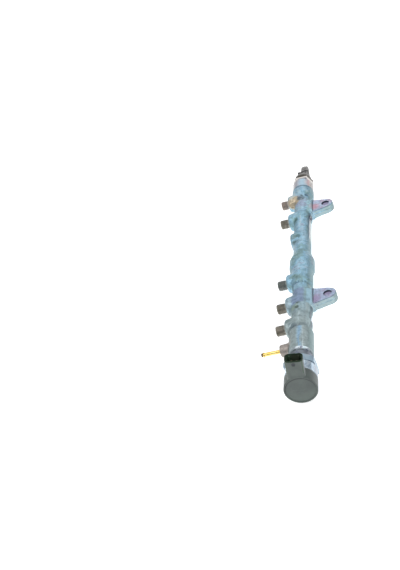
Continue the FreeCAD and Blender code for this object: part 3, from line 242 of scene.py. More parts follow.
def unit(rows):
    """The rows as unit vectors."""
    return rows / (np.linalg.norm(rows, axis=1)[:, None] + 1e-9)


def gradient(field, p, h=0.02):
    """Slope of the field at each point, over h mm to both sides."""
    g = np.empty_like(p)
    for a in range(3):
        q, r = p.copy(), p.copy()
        q[:, a] += h
        r[:, a] -= h
        g[:, a] = field(*q.T) - field(*r.T)
    return g / (2 * h)


def sample(field, axes, block=24):
    """The field on a grid, worked out a few layers at a time."""
    grid = np.empty([len(a) for a in axes], np.float32)
    for i in range(0, len(axes[1]), block):
        part = np.meshgrid(axes[0], axes[1][i:i + block], axes[2], indexing="ij")
        grid[:, i:i + block, :] = field(*part)
    return grid


def contour(field, low, high, step):
    """Quads of the field's zero set, with its edges kept (dual contouring)."""
    axes = [np.arange(low[a], high[a] + step, step) for a in range(3)]
    grid = sample(field, axes)
    inside = grid < 0
    cells = tuple(n - 1 for n in grid.shape)
    corner = sum(inside[i:i + cells[0], j:j + cells[1], k:k + cells[2]].astype(np.int8)
                 for i in (0, 1) for j in (0, 1) for k in (0, 1))
    active = (corner > 0) & (corner < 8)
    total = int(active.sum())
    number = np.full(cells, -1, np.int64)
    number[active] = np.arange(total)
    ata, atb = np.zeros((total, 3, 3)), np.zeros((total, 3))
    mean, count = np.zeros((total, 3)), np.zeros(total)
    quads = []
    for a in range(3):
        b, c = [(1, 2), (2, 0), (0, 1)][a]
        first, second = [slice(None)] * 3, [slice(None)] * 3
        first[a], second[a] = slice(0, -1), slice(1, None)
        first, second = tuple(first), tuple(second)
        flip = inside[first] != inside[second]
        at = np.argwhere(flip)
        u, v = grid[first][flip], grid[second][flip]
        point = np.stack([axes[n][at[:, n]] for n in range(3)], 1)
        point[:, a] += step * u / (u - v)
        for _ in range(2):      # two careful Newton steps along the grid line
            g = gradient(field, point)
            slope = np.where(np.abs(g[:, a]) < 0.2, np.inf, g[:, a])
            point[:, a] -= np.clip(field(*point.T) / slope, -0.3, 0.3) * 0.9
        g = unit(gradient(field, point))
        around = []
        for ob, oc in ((-1, -1), (0, -1), (0, 0), (-1, 0)):
            cell = at.copy()
            cell[:, b] += ob
            cell[:, c] += oc
            ok = (cell >= 0).all(1) & (cell < np.array(cells)).all(1)
            index = np.full(len(cell), -1)
            index[ok] = number[tuple(cell[ok].T)]
            around.append(index)
            good = index >= 0
            np.add.at(ata, index[good], g[good][:, :, None] * g[good][:, None, :])
            np.add.at(atb, index[good], g[good] * (g[good] * point[good]).sum(1)[:, None])
            np.add.at(mean, index[good], point[good])
            np.add.at(count, index[good], 1)
        quad = np.stack(around, 1)
        turned = inside[first][flip]
        quad[~turned] = quad[~turned][:, ::-1]
        quads.append(quad[(quad >= 0).all(1)])
    mean /= count[:, None]
    weight = PULL * count[:, None, None] * np.eye(3)
    vertex = np.linalg.solve(ata + weight, (atb + (weight @ mean[:, :, None])[:, :, 0])[:, :, None])[:, :, 0]
    return mean + np.clip(vertex - mean, -ROAM * step, ROAM * step), np.concatenate(quads)


def field_normals(field, vertex, quads):
    """Normals of the faces' corners, read from the field.

    Where the vertex's normal leaves the face by more than EDGE_COS allows, the vertex lies on an edge and
    the normal is read inside the face. Where that is poor too, the face's own normal serves.
    """
    centre = vertex[quads].mean(1)
    flat = unit(np.cross(vertex[quads[:, 2]] - vertex[quads[:, 0]], vertex[quads[:, 3]] - vertex[quads[:, 1]]))
    normal = unit(gradient(field, vertex, 0.05))[quads]
    rows, cols = np.nonzero((normal * flat[:, None, :]).sum(2) < EDGE_COS)
    near = vertex[quads[rows, cols]] * 0.6 + centre[rows] * 0.4
    g = unit(gradient(field, near))
    poor = (g * flat[rows]).sum(1) < POOR_COS
    g[poor] = flat[rows][poor]
    normal[rows, cols] = g
    return normal


def new_object(name, data):
    """A new object, linked to the scene."""
    obj = bpy.data.objects.new(name, data)
    bpy.context.scene.collection.objects.link(obj)
    return obj


def finish_piece(name, mesh, material):
    """A piece of the rail with its material."""
    obj = new_object(name, mesh)
    mesh.materials.append(material)
    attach(obj, "rail")
    return obj


def field_piece(name, field, low, high, step, material):
    """Mesh of a field, its normals read from the field itself."""
    vertex, quads = contour(field, low, high, step)
    mesh = bpy.data.meshes.new(name)
    spot = np.clip(vertex * MM + AXIS * MM, np.array(cad_box[0]), np.array(cad_box[1]))
    mesh.from_pydata(spot.tolist(), [], quads.tolist())
    mesh.shade_smooth()
    mesh.normals_split_custom_set(field_normals(field, vertex, quads).reshape(-1, 3).tolist())
    return finish_piece(name, mesh, material)


def ring_piece(name, rings, sharp, material, caps):
    """Mesh through a row of rings, given in millimetres from the rail axis."""
    around, last = len(rings[0]), len(rings) - 1
    faces = []
    for i in range(last):
        here, there = i * around, (i + 1) * around
        for k in range(around):
            l = (k + 1) % around
            faces.append((here + k, there + k, there + l, here + l))
    if caps:
        faces.append(tuple(range(around)))
        faces.append(tuple(last * around + k for k in reversed(range(around))))
    mesh = bpy.data.meshes.new(name)
    mesh.from_pydata(((np.concatenate(rings) + AXIS) * MM).tolist(), [], faces)
    bm = bmesh.new()
    bm.from_mesh(mesh)
    bmesh.ops.recalc_face_normals(bm, faces=bm.faces)
    bm.to_mesh(mesh)
    bm.free()
    mesh.shade_smooth()
    mesh.set_sharp_from_angle(angle=math.radians(sharp))
    return finish_piece(name, mesh, material)


def lathe(name, rows, material, around=96):
    """Turned ring about the rail axis; a row is (radius, station)."""
    angle = np.arange(around) * 2 * math.pi / around
    rings = [np.stack([r * np.cos(angle), np.full(around, y), r * np.sin(angle)], 1) for r, y in rows]
    return ring_piece(name, rings, 28, material, caps=False)


def thread_piece(name, station, reach, material, around=72):
    """Screwed pipe connection: relief, helical thread, chamfer, sealing cone and port."""
    angle = np.arange(around) * 2 * math.pi / around
    rows = []
    for out in np.arange(reach - 0.6, THREAD_END + 1e-6, PITCH / 8):
        phase = (out / PITCH - angle / (2 * math.pi)) % 1.0
        flank = 1 - np.abs(phase * 2 - 1)
        r = THREAD_R - 0.92 * np.clip((0.86 - flank) / 0.80, 0, 1)
        runout = np.clip((out - (reach + 1.2)) / 1.2, 0, 1)
        r = r * runout + THREAD_ROOT * (1 - runout)
        rows.append((np.minimum(r, 5.1 + (THREAD_END - out)), out))
    rows += [(4.75, THREAD_END), (4.1, THREAD_END), (4.0, 27.82), (1.4, 23.3), (1.3, 23.0), (1.3, reach)]
    rings = [np.stack([np.full(around, -out), station + r * np.cos(angle), r * np.sin(angle)], 1) for r, out in rows]
    return ring_piece(name, rings, 34, material, caps=True)


# ---------------------------------------------------------------- materials
def lin(r, g, b):
    """A colour of 0 to 255 as the linear colour that Blender takes."""
    def one(v):
        v /= 255.0
        return v / 12.92 if v <= 0.04045 else ((v + 0.055) / 1.055) ** 2.4
    return (one(r), one(g), one(b), 1.0)


def set_stops(node, stops):
    """Give a colour ramp its stops of (place, colour)."""
    elements = node.color_ramp.elements
    while len(elements) < len(stops):
        elements.new(0.5)
    for element, (place, colour) in zip(elements, stops):
        element.position = place
        element.color = colour


class Paint:
    """Builds one node material. Colours are 0 to 255, places are mm in the part's frame."""

    def __init__(self, name, **shader):
        self.m = bpy.data.materials.new(name)
        self.m.use_nodes = True
        self.t = self.m.node_tree
        self.t.nodes.clear()
        self.s = self.node("BsdfPrincipled")
        self.t.links.new(self.s.outputs[0], self.node("OutputMaterial").inputs[0])
        for key, value in shader.items():
            self.put(self.s, key, value)
        self.where = self.node("TexCoord").outputs["Object"]

    def node(self, kind):
        return self.t.nodes.new("ShaderNode" + kind)

    def put(self, node, key, value):
        """Link a socket to a node's input, or set the input to a plain value."""
        if isinstance(value, bpy.types.NodeSocket):
            self.t.links.new(value, node.inputs[key])
        else:
            node.inputs[key].default_value = value

    def color(self, value):
        self.put(self.s, "Base Color", value)

    def rough(self, value):
        self.put(self.s, "Roughness", value)

    # values
    def noise(self, scale, detail=3.0, rough=0.5, stretch=None, warp=0.0):
        node = self.node("TexNoise")
        where = self.where
        if stretch:
            mapping = self.node("Mapping")
            mapping.inputs["Scale"].default_value = stretch
            self.put(mapping, 0, where)
            where = mapping.outputs[0]
        for key, value in (("Vector", where), ("Scale", scale), ("Detail", detail), ("Roughness", rough),
                           ("Distortion", warp)):
            self.put(node, key, value)
        return node.outputs["Fac"]

    def cells(self, scale):
        node = self.node("TexVoronoi")
        self.put(node, "Vector", self.where)
        self.put(node, "Scale", scale)
        return node.outputs["Distance"]

    def math(self, kind, a, b=0.0):
        node = self.node("Math")
        node.operation = kind
        self.put(node, 0, a)
        self.put(node, 1, b)
        return node.outputs[0]

    def times(self, first, *others):
        for other in others:
            first = self.math("MULTIPLY", first, other)
        return first

    def blend(self, a, b, share=0.5):
        return self.math("ADD", self.times(a, share), self.times(b, 1 - share))

    def length(self, a, b):
        return self.math("SQRT", self.math("ADD", self.times(a, a), self.times(b, b)))

    def part_of(self, vector, which):
        node = self.node("SeparateXYZ")
        self.put(node, 0, vector)
        return node.outputs["XYZ".index(which)]

    def axis(self, which):
        return self.part_of(self.where, which)

    def facing(self, which):
        """The surface's own direction, in the object's axes."""
        return self.part_of(self.node("TexCoord").outputs["Normal"], which)

    # masks
    def span(self, value, low, high, to_low=0.0, to_high=1.0):
        """Soft step of a value from low to high. It falls where high is below low."""
        node = self.node("MapRange")
        node.interpolation_type = "SMOOTHSTEP"
        for i, v in enumerate((value, low, high, to_low, to_high)):
            self.put(node, i, v)
        return node.outputs[0]

    def along(self, place, low, high):
        return self.span(place, low * MM, high * MM)

    def band(self, place, a, b, c, d):
        """1 from b to c, 0 up to a and from d on."""
        return self.times(self.along(place, a, b), self.along(place, d, c))

    def about(self, place, centre, full, gone):
        """1 as far as full on both sides of the centre, 0 from gone on."""
        return self.along(self.math("ABSOLUTE", self.math("SUBTRACT", place, centre * MM)), gone, full)

    def spot(self, point, radius, fade):
        """1 within a ball, fading to 0 outside."""
        node = self.node("VectorMath")
        node.operation = "DISTANCE"
        self.put(node, 0, self.where)
        self.put(node, 1, [v * MM for v in point])
        return self.along(node.outputs["Value"], radius + fade, radius)

    def occlusion_shade(self, reach, dark):
        """Painted shade: a grey value from ambient occlusion that falls to dark in the part's recesses and corners.
        """
        node = self.node("AmbientOcclusion")
        node.samples = 8
        node.only_local = True
        self.put(node, "Distance", reach * MM)
        return self.ramp(node.outputs["AO"], (0.35, dark), (0.9, 1.0))

    # colours
    def ramp(self, value, *stops):
        """A stop is (place, colour), or (place, grey) with grey as a linear value."""
        node = self.node("ValToRGB")
        self.put(node, 0, value)
        set_stops(node, [(at, lin(*c) if isinstance(c, tuple) else (c, c, c, 1.0)) for at, c in stops])
        return node.outputs[0]

    def mix(self, fac, a, b, kind="MIX"):
        node = self.node("Mix")
        node.data_type = "RGBA"
        node.blend_type = kind
        for i, v in ((0, fac), (6, a), (7, b)):
            self.put(node, i, lin(*v) if isinstance(v, tuple) else v)
        return node.outputs[2]

    def tint(self, c, rgb, much, *masks):
        """Turn the colour c towards rgb by much, where every mask is 1."""
        return self.mix(self.times(much, *masks), c, rgb)

    def shade(self, c, much, tone):
        return self.mix(much, c, tone, "MULTIPLY")

    def spots(self, c, rows, *masks):
        """Round marks: stains, painted shade or painted highlights; a row is (point, radius, fade, colour, strength).
        """
        for point, radius, fade, rgb, much in rows:
            c = self.tint(c, rgb, much, self.spot(point, radius, fade), *masks)
        return c

    def bump(self, *layers, round_edges=0.0):
        """Layers of (height, depth in mm), over edges that look rounded by a radius in mm."""
        normal = None
        if round_edges:
            edge = self.node("Bevel")
            edge.samples = 4
            self.put(edge, "Radius", round_edges * MM)
            normal = edge.outputs[0]
        for height, depth in layers:
            node = self.node("Bump")
            self.put(node, "Strength", 1.0)
            self.put(node, "Distance", depth * MM)
            self.put(node, "Height", height)
            if normal is not None:
                self.put(node, "Normal", normal)
            normal = node.outputs[0]
        self.put(self.s, "Normal", normal)


# Stains of the forging: (point, radius, fade, colour, strength).
PLAIN_STAINS = (
    ((-43.0, 122.5, 14.0), 3.5, 3.5, (206, 212, 206), 0.7),
    ((-50, -173, 9), 9.0, 6.0, (164, 154, 146), 0.9),
    ((-14.5, 93, 10.6), 3.4, 6.0, (206, 152, 166), 0.75),
    ((-14.0, -103, 10.6), 3.0, 6.0, (160, 142, 178), 0.75))
# Painted shade in the valleys by the bulge and on the pipe's side near the first lug, painted highlights on the
# bulge's ridges and round the die mark, and stains: (point, radius, fade, colour, strength).
PATCHY_SHADE_HIGHLIGHTS_AND_STAINS = (
    ((-30.5, 114.5, 16.2), 3.4, 3.4, (84, 104, 114), 0.95),
    ((-23.3, 120.0, 14.9), 1.6, 2.2, (84, 112, 132), 0.9),
    ((-20.2, 71.5, 7.8), 2.6, 2.5, (70, 66, 86), 1.0),
    ((-20.4, 66.0, 7.0), 1.6, 2.2, (84, 82, 100), 0.9),
    ((-37.0, 66.0, 14.0), 2.0, 3.0, (92, 122, 120), 0.9),
    ((-38.4, 76.0, 17.2), 2.4, 3.0, (184, 206, 210), 0.5),
    ((-37.2, -115.5, 15.2), 2.6, 2.6, (150, 170, 154), 0.7),
    ((-31.4, -111.0, 17.5), 1.2, 1.6, (84, 102, 96), 0.9),
    ((-32.8, -117.2, 16.5), 1.6, 1.8, (84, 100, 92), 0.9),
    ((-33.6, -113.8, 17.0), 0.9, 1.6, (168, 190, 172), 0.5),
    ((-30.0, 113.5, 18.0), 3.0, 4.0, (104, 118, 126), 0.8),
    ((-38.5, -146.0, 15.1), 2.4, 3.5, (92, 108, 114), 0.85),
    ((-36.3, 126.7, 17.9), 3.0, 5.0, (188, 204, 206), 0.6),
    ((-38.1, 21.5, 13.3), 4.0, 4.0, (126, 142, 142), 0.6),
    ((-25.2, 131.6, 18.2), 1.2, 2.4, (188, 210, 218), 0.7),
    ((-22.2, 127.6, 16.4), 1.2, 2.4, (188, 210, 218), 0.7),
    ((-19.6, 121.4, 14.2), 1.2, 2.4, (184, 206, 214), 0.7),
    ((-28.6, 135.0, 18.8), 1.2, 2.6, (110, 158, 192), 0.6),
    ((-33.0, 24.0, 16.0), 2.0, 2.5, (92, 118, 120), 0.8),
    ((-38.5, 17.0, 14.5), 2.0, 2.5, (92, 118, 112), 0.8),
    ((-40.0, 75.0, 13.0), 1.8, 3.0, (104, 134, 130), 0.8),
    ((-42.0, -136.0, 14.5), 3.0, 4.0, (104, 124, 122), 0.7),
    ((-42.5, 30.0, 13.0), 4.0, 5.0, (120, 142, 140), 0.7),
    ((-31.5, -150.5, 16.5), 2.5, 4.0, (104, 116, 126), 0.5),
    ((-37.5, -96.0, 16.5), 3.0, 4.0, (116, 138, 134), 0.5),
    ((-36.0, 15.0, 16.5), 3.0, 5.0, (112, 134, 138), 0.5))
# Painted reflections and a painted highlight along the barrel's top (x), and painted shade in bands round the pipe
# where it steps (y): (place, width, colour, strength).
BARREL_REFLECTIONS = ((-29.2, 4.8, (156, 190, 210), 0.7), (-29.3, 2.2, (124, 160, 192), 0.5), (-25.5, 1.2, (216, 228, 228), 0.5))
CREASE_SHADES = ((140.0, 1.6, (92, 128, 150), 0.8), (-104.6, 2.6, (92, 108, 120), 0.5), (-147.0, 4.4, (96, 112, 120), 0.5),
         (-124.5, 2.0, (112, 128, 128), 0.3), (-70.5, 2.0, (76, 100, 120), 1.0), (82.0, 1.8, (104, 128, 138), 0.3))


def plated_forging():
    """Zinc plating with its coloured film, stains and draw marks, and painted highlights, reflections, light and
    shade. Later layers lie over earlier ones.
    """
    p = Paint("plated_forging", Metallic=0.6)
    big, mid, fine = p.noise(26, 2.0, 0.5, warp=0.6), p.noise(95, 4.0, 0.6, warp=0.9), p.noise(700, 4.0, 0.6)
    drawn = p.noise(420, 2.0, 0.6, stretch=(1.0, 0.10, 1.0))
    coarse = p.noise(150, 3.0, 0.6, warp=0.8)
    x, y, z = p.axis("X"), p.axis("Y"), p.axis("Z")
    up, side_way, front_way = p.facing("Z"), p.facing("X"), p.facing("Y")

    # the plating's film, plain towards the valve
    film = p.ramp(p.blend(big, mid, 0.55), (0.30, (112, 142, 142)), (0.40, (138, 172, 176)), (0.49, (150, 192, 214)),
                  (0.56, (166, 198, 214)), (0.63, (160, 172, 196)), (0.74, (172, 196, 192)))
    plain = p.ramp(mid, (0.3, (150, 166, 166)), (0.7, (172, 188, 190)))
    c = p.mix(p.along(y, -150, -60), plain, film)
    # the milled lug faces took the film more strongly
    flat = p.times(p.span(up, 0.9, 0.99), p.along(x, -15.5, -15.0))
    face = p.ramp(p.noise(70, 2.0, 0.5, warp=1.2), (0.32, (186, 172, 192)), (0.46, (184, 190, 214)),
                  (0.60, (186, 202, 224)), (0.75, (176, 200, 218)))
    c = p.mix(flat, c, face)
    c = p.tint(c, (142, 158, 190), 0.35, flat, p.along(y, 0, -10))
    # tan stain at the first boss, other stains
    tan = p.times(p.spot((-40.5, 112.5, 12.5), 7.5, 4.0), p.span(p.noise(160), 0.15, 0.40))
    c = p.mix(tan, c, p.ramp(p.noise(210, 3.0, 0.6, warp=0.8), (0.38, (168, 156, 136)), (0.58, (208, 194, 166))))
    c = p.spots(c, PLAIN_STAINS)

    # painted reflections along the top of the turned barrel: blue bands and a thin white highlight, broken by the
    # draw marks
    barrel = p.times(p.along(y, -149, -153), p.span(drawn, 0.34, 0.60))
    for at, wide, rgb, much in BARREL_REFLECTIONS:
        c = p.tint(c, rgb, much, p.about(x, at, wide * 0.3, wide), barrel)
    # lavender web beside lug 2, with a painted highlight as a pale stripe on its shoulder and on the other web's
    # shoulder
    web, other_web = p.band(y, -112, -107, -84, -80), p.band(y, 80, 84, 108, 112)
    crown, shoulder = p.about(x, -32.5, 5.0, 8.5), p.about(x, -19.6, 3.0, 3.6)
    c = p.tint(c, (140, 156, 190), 0.7, web, crown)
    c = p.tint(c, (164, 200, 214), 0.75, web, shoulder)
    c = p.tint(c, (164, 202, 204), 0.45, other_web, shoulder)
    # the light that runs along the top of the pipe
    crest = p.times(p.about(x, -30.6, 0.5, 1.3), p.span(up, 0.95, 0.985), p.span(drawn, 0.30, 0.52))
    lit = p.math("MAXIMUM", p.band(y, 44, 54, 68, 78), p.band(y, -146, -142, -127, -122))
    c = p.tint(c, (204, 222, 228), 0.5, crest, lit)

    # fine draw marks along the pipe, dust and grain
    c = p.shade(c, 0.7, p.ramp(drawn, (0.34, 0.88), (0.62, 1.08)))
    c = p.shade(c, 0.8, p.ramp(p.cells(420), (0.0, 0.84), (0.5, 1.0)))
    c = p.shade(c, 0.85, p.ramp(p.noise(260, 4.0, 0.7, warp=0.5), (0.32, 0.62), (0.50, 0.98), (0.68, 1.18)))
    # the lavender web and the painted highlight on the shoulders once more, over the grain
    c = p.tint(c, (134, 154, 184), 0.4, web, crown)
    c = p.tint(c, (156, 192, 208), 0.5, web, shoulder)

    # painted shade: flanks fall off to grey green, while the ends that face the valve stay light
    flank = p.times(p.span(p.math("ABSOLUTE", side_way), 0.55, 0.98), p.span(p.math("ABSOLUTE", front_way), 0.7, 0.3))
    c = p.tint(c, (112, 136, 138), 0.8, flank)
    # painted shade as the pipe's dark flank and painted light from the floor as the pale strip under it; on the neck
    # a painted pale band and a painted dark edge
    pipe_only, neck = p.band(y, 12, 30, 72, 82), p.band(y, -150, -146, -112, -108)
    level = p.span(up, -0.06, 0.14)
    c = p.tint(c, (84, 100, 118), 0.7, p.span(side_way, 0.75, 0.84), p.span(up, 0.36, 0.46), pipe_only)
    c = p.tint(c, (214, 216, 214), 0.75, p.span(side_way, 0.80, 0.90), p.span(up, 0.46, 0.34), level, pipe_only)
    c = p.tint(c, (180, 198, 200), 0.7, p.span(side_way, 0.55, 0.70), p.span(side_way, 0.93, 0.86), neck)
    c = p.tint(c, (112, 112, 122), 0.6, p.span(side_way, 0.90, 0.96), neck, level)
    # painted shade from ambient occlusion in the corners and recesses
    c = p.shade(c, 1.0, p.occlusion_shade(6.0, 0.34))

    # rounded lug edges: painted shade on the upper brink, painted light from the floor on the low side, painted shade
    # under the tip
    lug = p.along(x, -15.8, -15.2)
    c = p.tint(c, (104, 116, 138), 0.6, p.span(up, 0.12, 0.4), p.span(up, 0.96, 0.8), lug)
    c = p.tint(c, (160, 178, 178), 0.75, p.span(up, 0.12, 0.0), p.span(front_way, 0.0, -0.4), lug)
    c = p.tint(c, (116, 134, 136), 0.7, p.span(up, 0.2, 0.0), p.span(side_way, 0.45, 0.85), p.along(x, 2, 5))
    # painted shadow on the step wall beside each lug, darker on one half
    step = p.times(p.about(x, -16.3, 0.4, 1.0), p.span(side_way, 0.5, 0.8), p.along(z, 10.4, 10.8))
    half = p.math("MAXIMUM", p.along(y, 92, 100), p.times(p.along(y, 0, -10), p.along(y, -100, -92)))
    c = p.tint(c, (78, 86, 112), 0.85, step, half)
    c = p.tint(c, (150, 142, 162), 0.35, step)

    # painted shade in bands round the pipe: below the collar, beside lug 2, in front of the barrel, where the pipe's
    # radius steps
    top = p.times(p.span(up, 0.15, 0.6), p.span(coarse, 0.36, 0.54), p.about(x, -30.5, 10.5, 12.8))
    c = p.tint(c, (104, 124, 138), 0.6, p.about(y, 139.7, 0.6, 2.8), p.span(up, -0.2, 0.2))
    for at, wide, rgb, much in CREASE_SHADES:
        c = p.tint(c, rgb, much * 0.85, p.about(y, at, wide * 0.1, wide * 1.4), top)
    # patches of painted shade, painted highlights and stains, broken by noise
    c = p.spots(c, PATCHY_SHADE_HIGHLIGHTS_AND_STAINS, p.span(coarse, 0.36, 0.56))

    # the walls of the bolt holes are bright low down with painted light from the floor, and dark near the top with
    # painted shadow under the rim
    hole = p.length(p.math("SUBTRACT", p.math("ABSOLUTE", y), LUG_Y * MM), x)
    wall = (hole, 4.62 * MM, 4.72 * MM)
    c = p.mix(p.span(*wall, 1.0, 0.0), c, p.mix(p.along(z, 7.6, 8.8), (186, 180, 204), (46, 44, 64)))
    p.color(c)
    p.put(p.s, "Metallic", p.span(*wall, 0.1, 0.6))
    p.rough(p.span(p.blend(fine, mid, 0.6), 0.3, 0.7, 0.36, 0.58))
    p.bump((p.noise(230, 4.0, 0.62), 0.26), (fine, 0.08))
    return p.m


def lathe_paint(name, metallic, stain, low, high):
    """Turned metal: fine rings along the axis and a slow stain, which is returned too."""
    p = Paint(name, Metallic=metallic)
    rings = p.noise(2600, 2.0, 0.6, stretch=(0.05, 1.0, 0.05))
    scale, rough, warp = stain
    stain = p.noise(scale, 3.0, rough, warp=warp)
    p.rough(p.span(p.blend(rings, stain), 0.35, 0.65, low, high))
    p.bump((rings, 0.02), round_edges=0.25)
    return p, stain


def turned(name, c1, c2, low=0.16, high=0.3):
    """Plain turned metal between two colours, for the inner pieces."""
    p, stain = lathe_paint(name, 1.0, (70, 0.5, 0.7), low, high)
    p.color(p.mix(p.span(stain, 0.35, 0.68), c1, c2))
    return p.m


def hexagon_steel():
    """The sensor's hexagon: dull far half, a bright band, and painted shadow at its end by the rail, where the collar
    shades it.
    """
    p, stain = lathe_paint("sensor_steel", 0.6, (90, 0.55, 0.0), 0.3, 0.46)
    y = p.axis("Y")
    c = p.mix(p.span(stain, 0.35, 0.68), (206, 202, 198), (226, 222, 216))
    # painted shadow at the near end, next to the collar
    c = p.tint(c, (104, 110, 126), 0.7, p.along(y, 163.4, 162.6), p.about(p.axis("X"), -28.5, 4.5, 7.5))
    c = p.tint(c, (70, 66, 56), 1.0, p.along(y, 165.6, 166.4))
    p.color(c)
    return p.m


def collar_plating():
    """The turned collar at the sensor, coloured by the way it faces as painted reflections and shade: blue above,
    pale to one side, pink to the other, darker at the far edge.
    """
    p, stain = lathe_paint("plated_collar", 0.55, (110, 0.55, 0.6), 0.3, 0.45)
    way = p.math("ADD", p.facing("X"), p.times(p.math("SUBTRACT", stain, 0.5), 0.5))
    p.color(p.ramp(p.span(way, -1.0, 1.0), (0.05, (180, 180, 184)), (0.26, (190, 192, 202)), (0.44, (172, 196, 212)),
                   (0.70, (170, 198, 214)), (0.84, (190, 204, 214)), (0.91, (206, 200, 206)),
                   (0.955, (220, 188, 190)), (0.985, (186, 182, 178)), (1.0, (150, 148, 146))))
    return p.m


def screw_plating():
    """The valve's screw: pale blue hexagon, dark seat, and a dark neck that is painted shade."""
    p, stain = lathe_paint("plated_screw", 0.7, (110, 0.55, 0.6), 0.28, 0.44)
    y = p.axis("Y")
    c = p.ramp(stain, (0.32, (140, 160, 176)), (0.52, (156, 180, 194)), (0.72, (170, 186, 196)))
    c = p.tint(c, (92, 108, 124), 1.0, p.along(y, -210.4, -211.2))
    # painted shade on the neck, in the gap by the barrel's end
    neck = p.mix(p.span(stain, 0.4, 0.6), (104, 108, 126), (128, 136, 144))
    p.color(p.mix(p.along(y, -201.8, -200.6), c, neck))
    return p.m


def cup_plating():
    """The bright cup: pale blue, with painted shade on its underside and on its side facing +X."""
    p, stain = lathe_paint("plated_cup", 0.65, (120, 0.55, 0.8), 0.14, 0.28)
    c = p.ramp(stain, (0.30, (158, 176, 194)), (0.40, (186, 206, 220)), (0.60, (206, 218, 228)),
               (0.75, (192, 208, 214)))
    # painted shade on the underside
    c = p.shade(c, 1.0, p.ramp(p.span(p.facing("Z"), -0.6, 0.5), (0.0, (150, 158, 166)), (1.0, 1.0)))
    # painted shade on the side facing +X
    p.color(p.tint(c, (150, 160, 172), 1.0, p.span(p.facing("X"), 0.80, 0.98)))
    return p.m


def end_plating():
    """Chamfered end of the barrel: bright painted highlights on its top, broken by noise."""
    p = Paint("plated_end", Metallic=0.15)
    patch = p.noise(190, 2.0, 0.6, warp=0.4)
    # painted highlights on the top of the end, broken in patches
    bright = p.ramp(patch, (0.40, (150, 160, 178)), (0.47, (232, 244, 248)), (0.64, (216, 236, 244)))
    p.color(p.mix(p.about(p.axis("X"), -26.9, 4.6, 7.8), (150, 162, 166), bright))
    p.rough(p.span(patch, 0.35, 0.65, 0.50, 0.60))
    p.bump((p.noise(600), 0.05), round_edges=0.25)
    return p.m


def thread_steel():
    """The connections' threads: olive, warmer near the sensor, one of them stained blue."""
    p = Paint("thread_steel", Metallic=0.75)
    stain, fine = p.noise(130, 3.0, 0.6, warp=0.5), p.noise(1500)
    c = p.ramp(stain, (0.30, (134, 132, 122)), (0.50, (160, 156, 146)), (0.72, (186, 178, 170)))
    c = p.tint(c, (200, 184, 178), 0.5, p.along(p.axis("Y"), 100, 120))
    p.color(p.tint(c, (116, 134, 138), 0.5, p.spot((-55.0, -56.1, 6.0), 9.0, 4.0)))
    p.rough(p.span(fine, 0.3, 0.7, 0.42, 0.62))
    p.bump((fine, 0.03))
    return p.m


def moulded_paint(name, c1, c2, stain=(55, 3.0, 0.55), rough=(0.42, 0.58), grain=0.035, scale=1500):
    """Moulded plastic: a slow stain and a fine grain. Also its plain colour."""
    p = Paint(name)
    stain, fine = p.noise(*stain), p.noise(scale, 3.0, 0.6)
    p.rough(p.span(p.blend(stain, fine), 0.3, 0.7, *rough))
    p.bump((fine, grain))
    return p, p.mix(p.span(stain, 0.35, 0.7), c1, c2)


def moulding(name, c1, c2, **finish):
    """Plain moulded plastic or rubber."""
    p, c = moulded_paint(name, c1, c2, **finish)
    p.color(c)
    return p.m


def head_moulding():
    """The valve's moulding: the inside of its socket is painted dark as shade, near black at the rim."""
    p, c = moulded_paint("grey_moulding", (74, 83, 81), (88, 98, 94))
    y = p.axis("Y")
    wide, high = p.math("ADD", p.axis("X"), OFF * MM), p.math("SUBTRACT", p.axis("Z"), LIFT * MM)
    tall = p.math("ADD", p.times(wide, math.sin(TILT)), p.times(high, math.cos(TILT)))
    across = p.math("SUBTRACT", p.times(wide, math.cos(TILT)), p.times(high, math.sin(TILT)))
    # painted shade inside the socket and on its rim, near black at the top, with less shine
    inside = p.times(p.along(tall, 20.6, 21.2), p.about(y, SOCKET_Y, 5.2, 5.4), p.about(across, SOCKET_X, 8.1, 8.3))
    rim = p.math("MAXIMUM", p.along(tall, 36.0, 36.6), inside)
    deep = p.mix(p.about(across, -0.6, 3.0, 6.6), (78, 100, 80), (74, 82, 68))
    c = p.mix(rim, c, p.mix(p.along(tall, 35.5, 37.2), deep, (44, 58, 46)))
    p.put(p.s, "Specular IOR Level", p.span(rim, 0.2, 0.8, 0.5, 0.06))
    # the face: a painted shadow line inside its rim on the upper part, lighter at its foot
    face = p.along(y, -238.6, -238.9)
    c = p.tint(c, (34, 40, 40), 0.9, p.about(p.length(wide, high), 15.3, 0.4, 0.9), p.along(high, -4, 9), face)
    c = p.tint(c, (98, 110, 104), 0.6, p.along(high, 2, -13), face)
    # painted shade in the latch recess
    p.color(p.tint(c, (48, 54, 60), 0.9, p.spot((-28.3, -239.3, 38.7), 1.5, 1.0)))
    return p.m


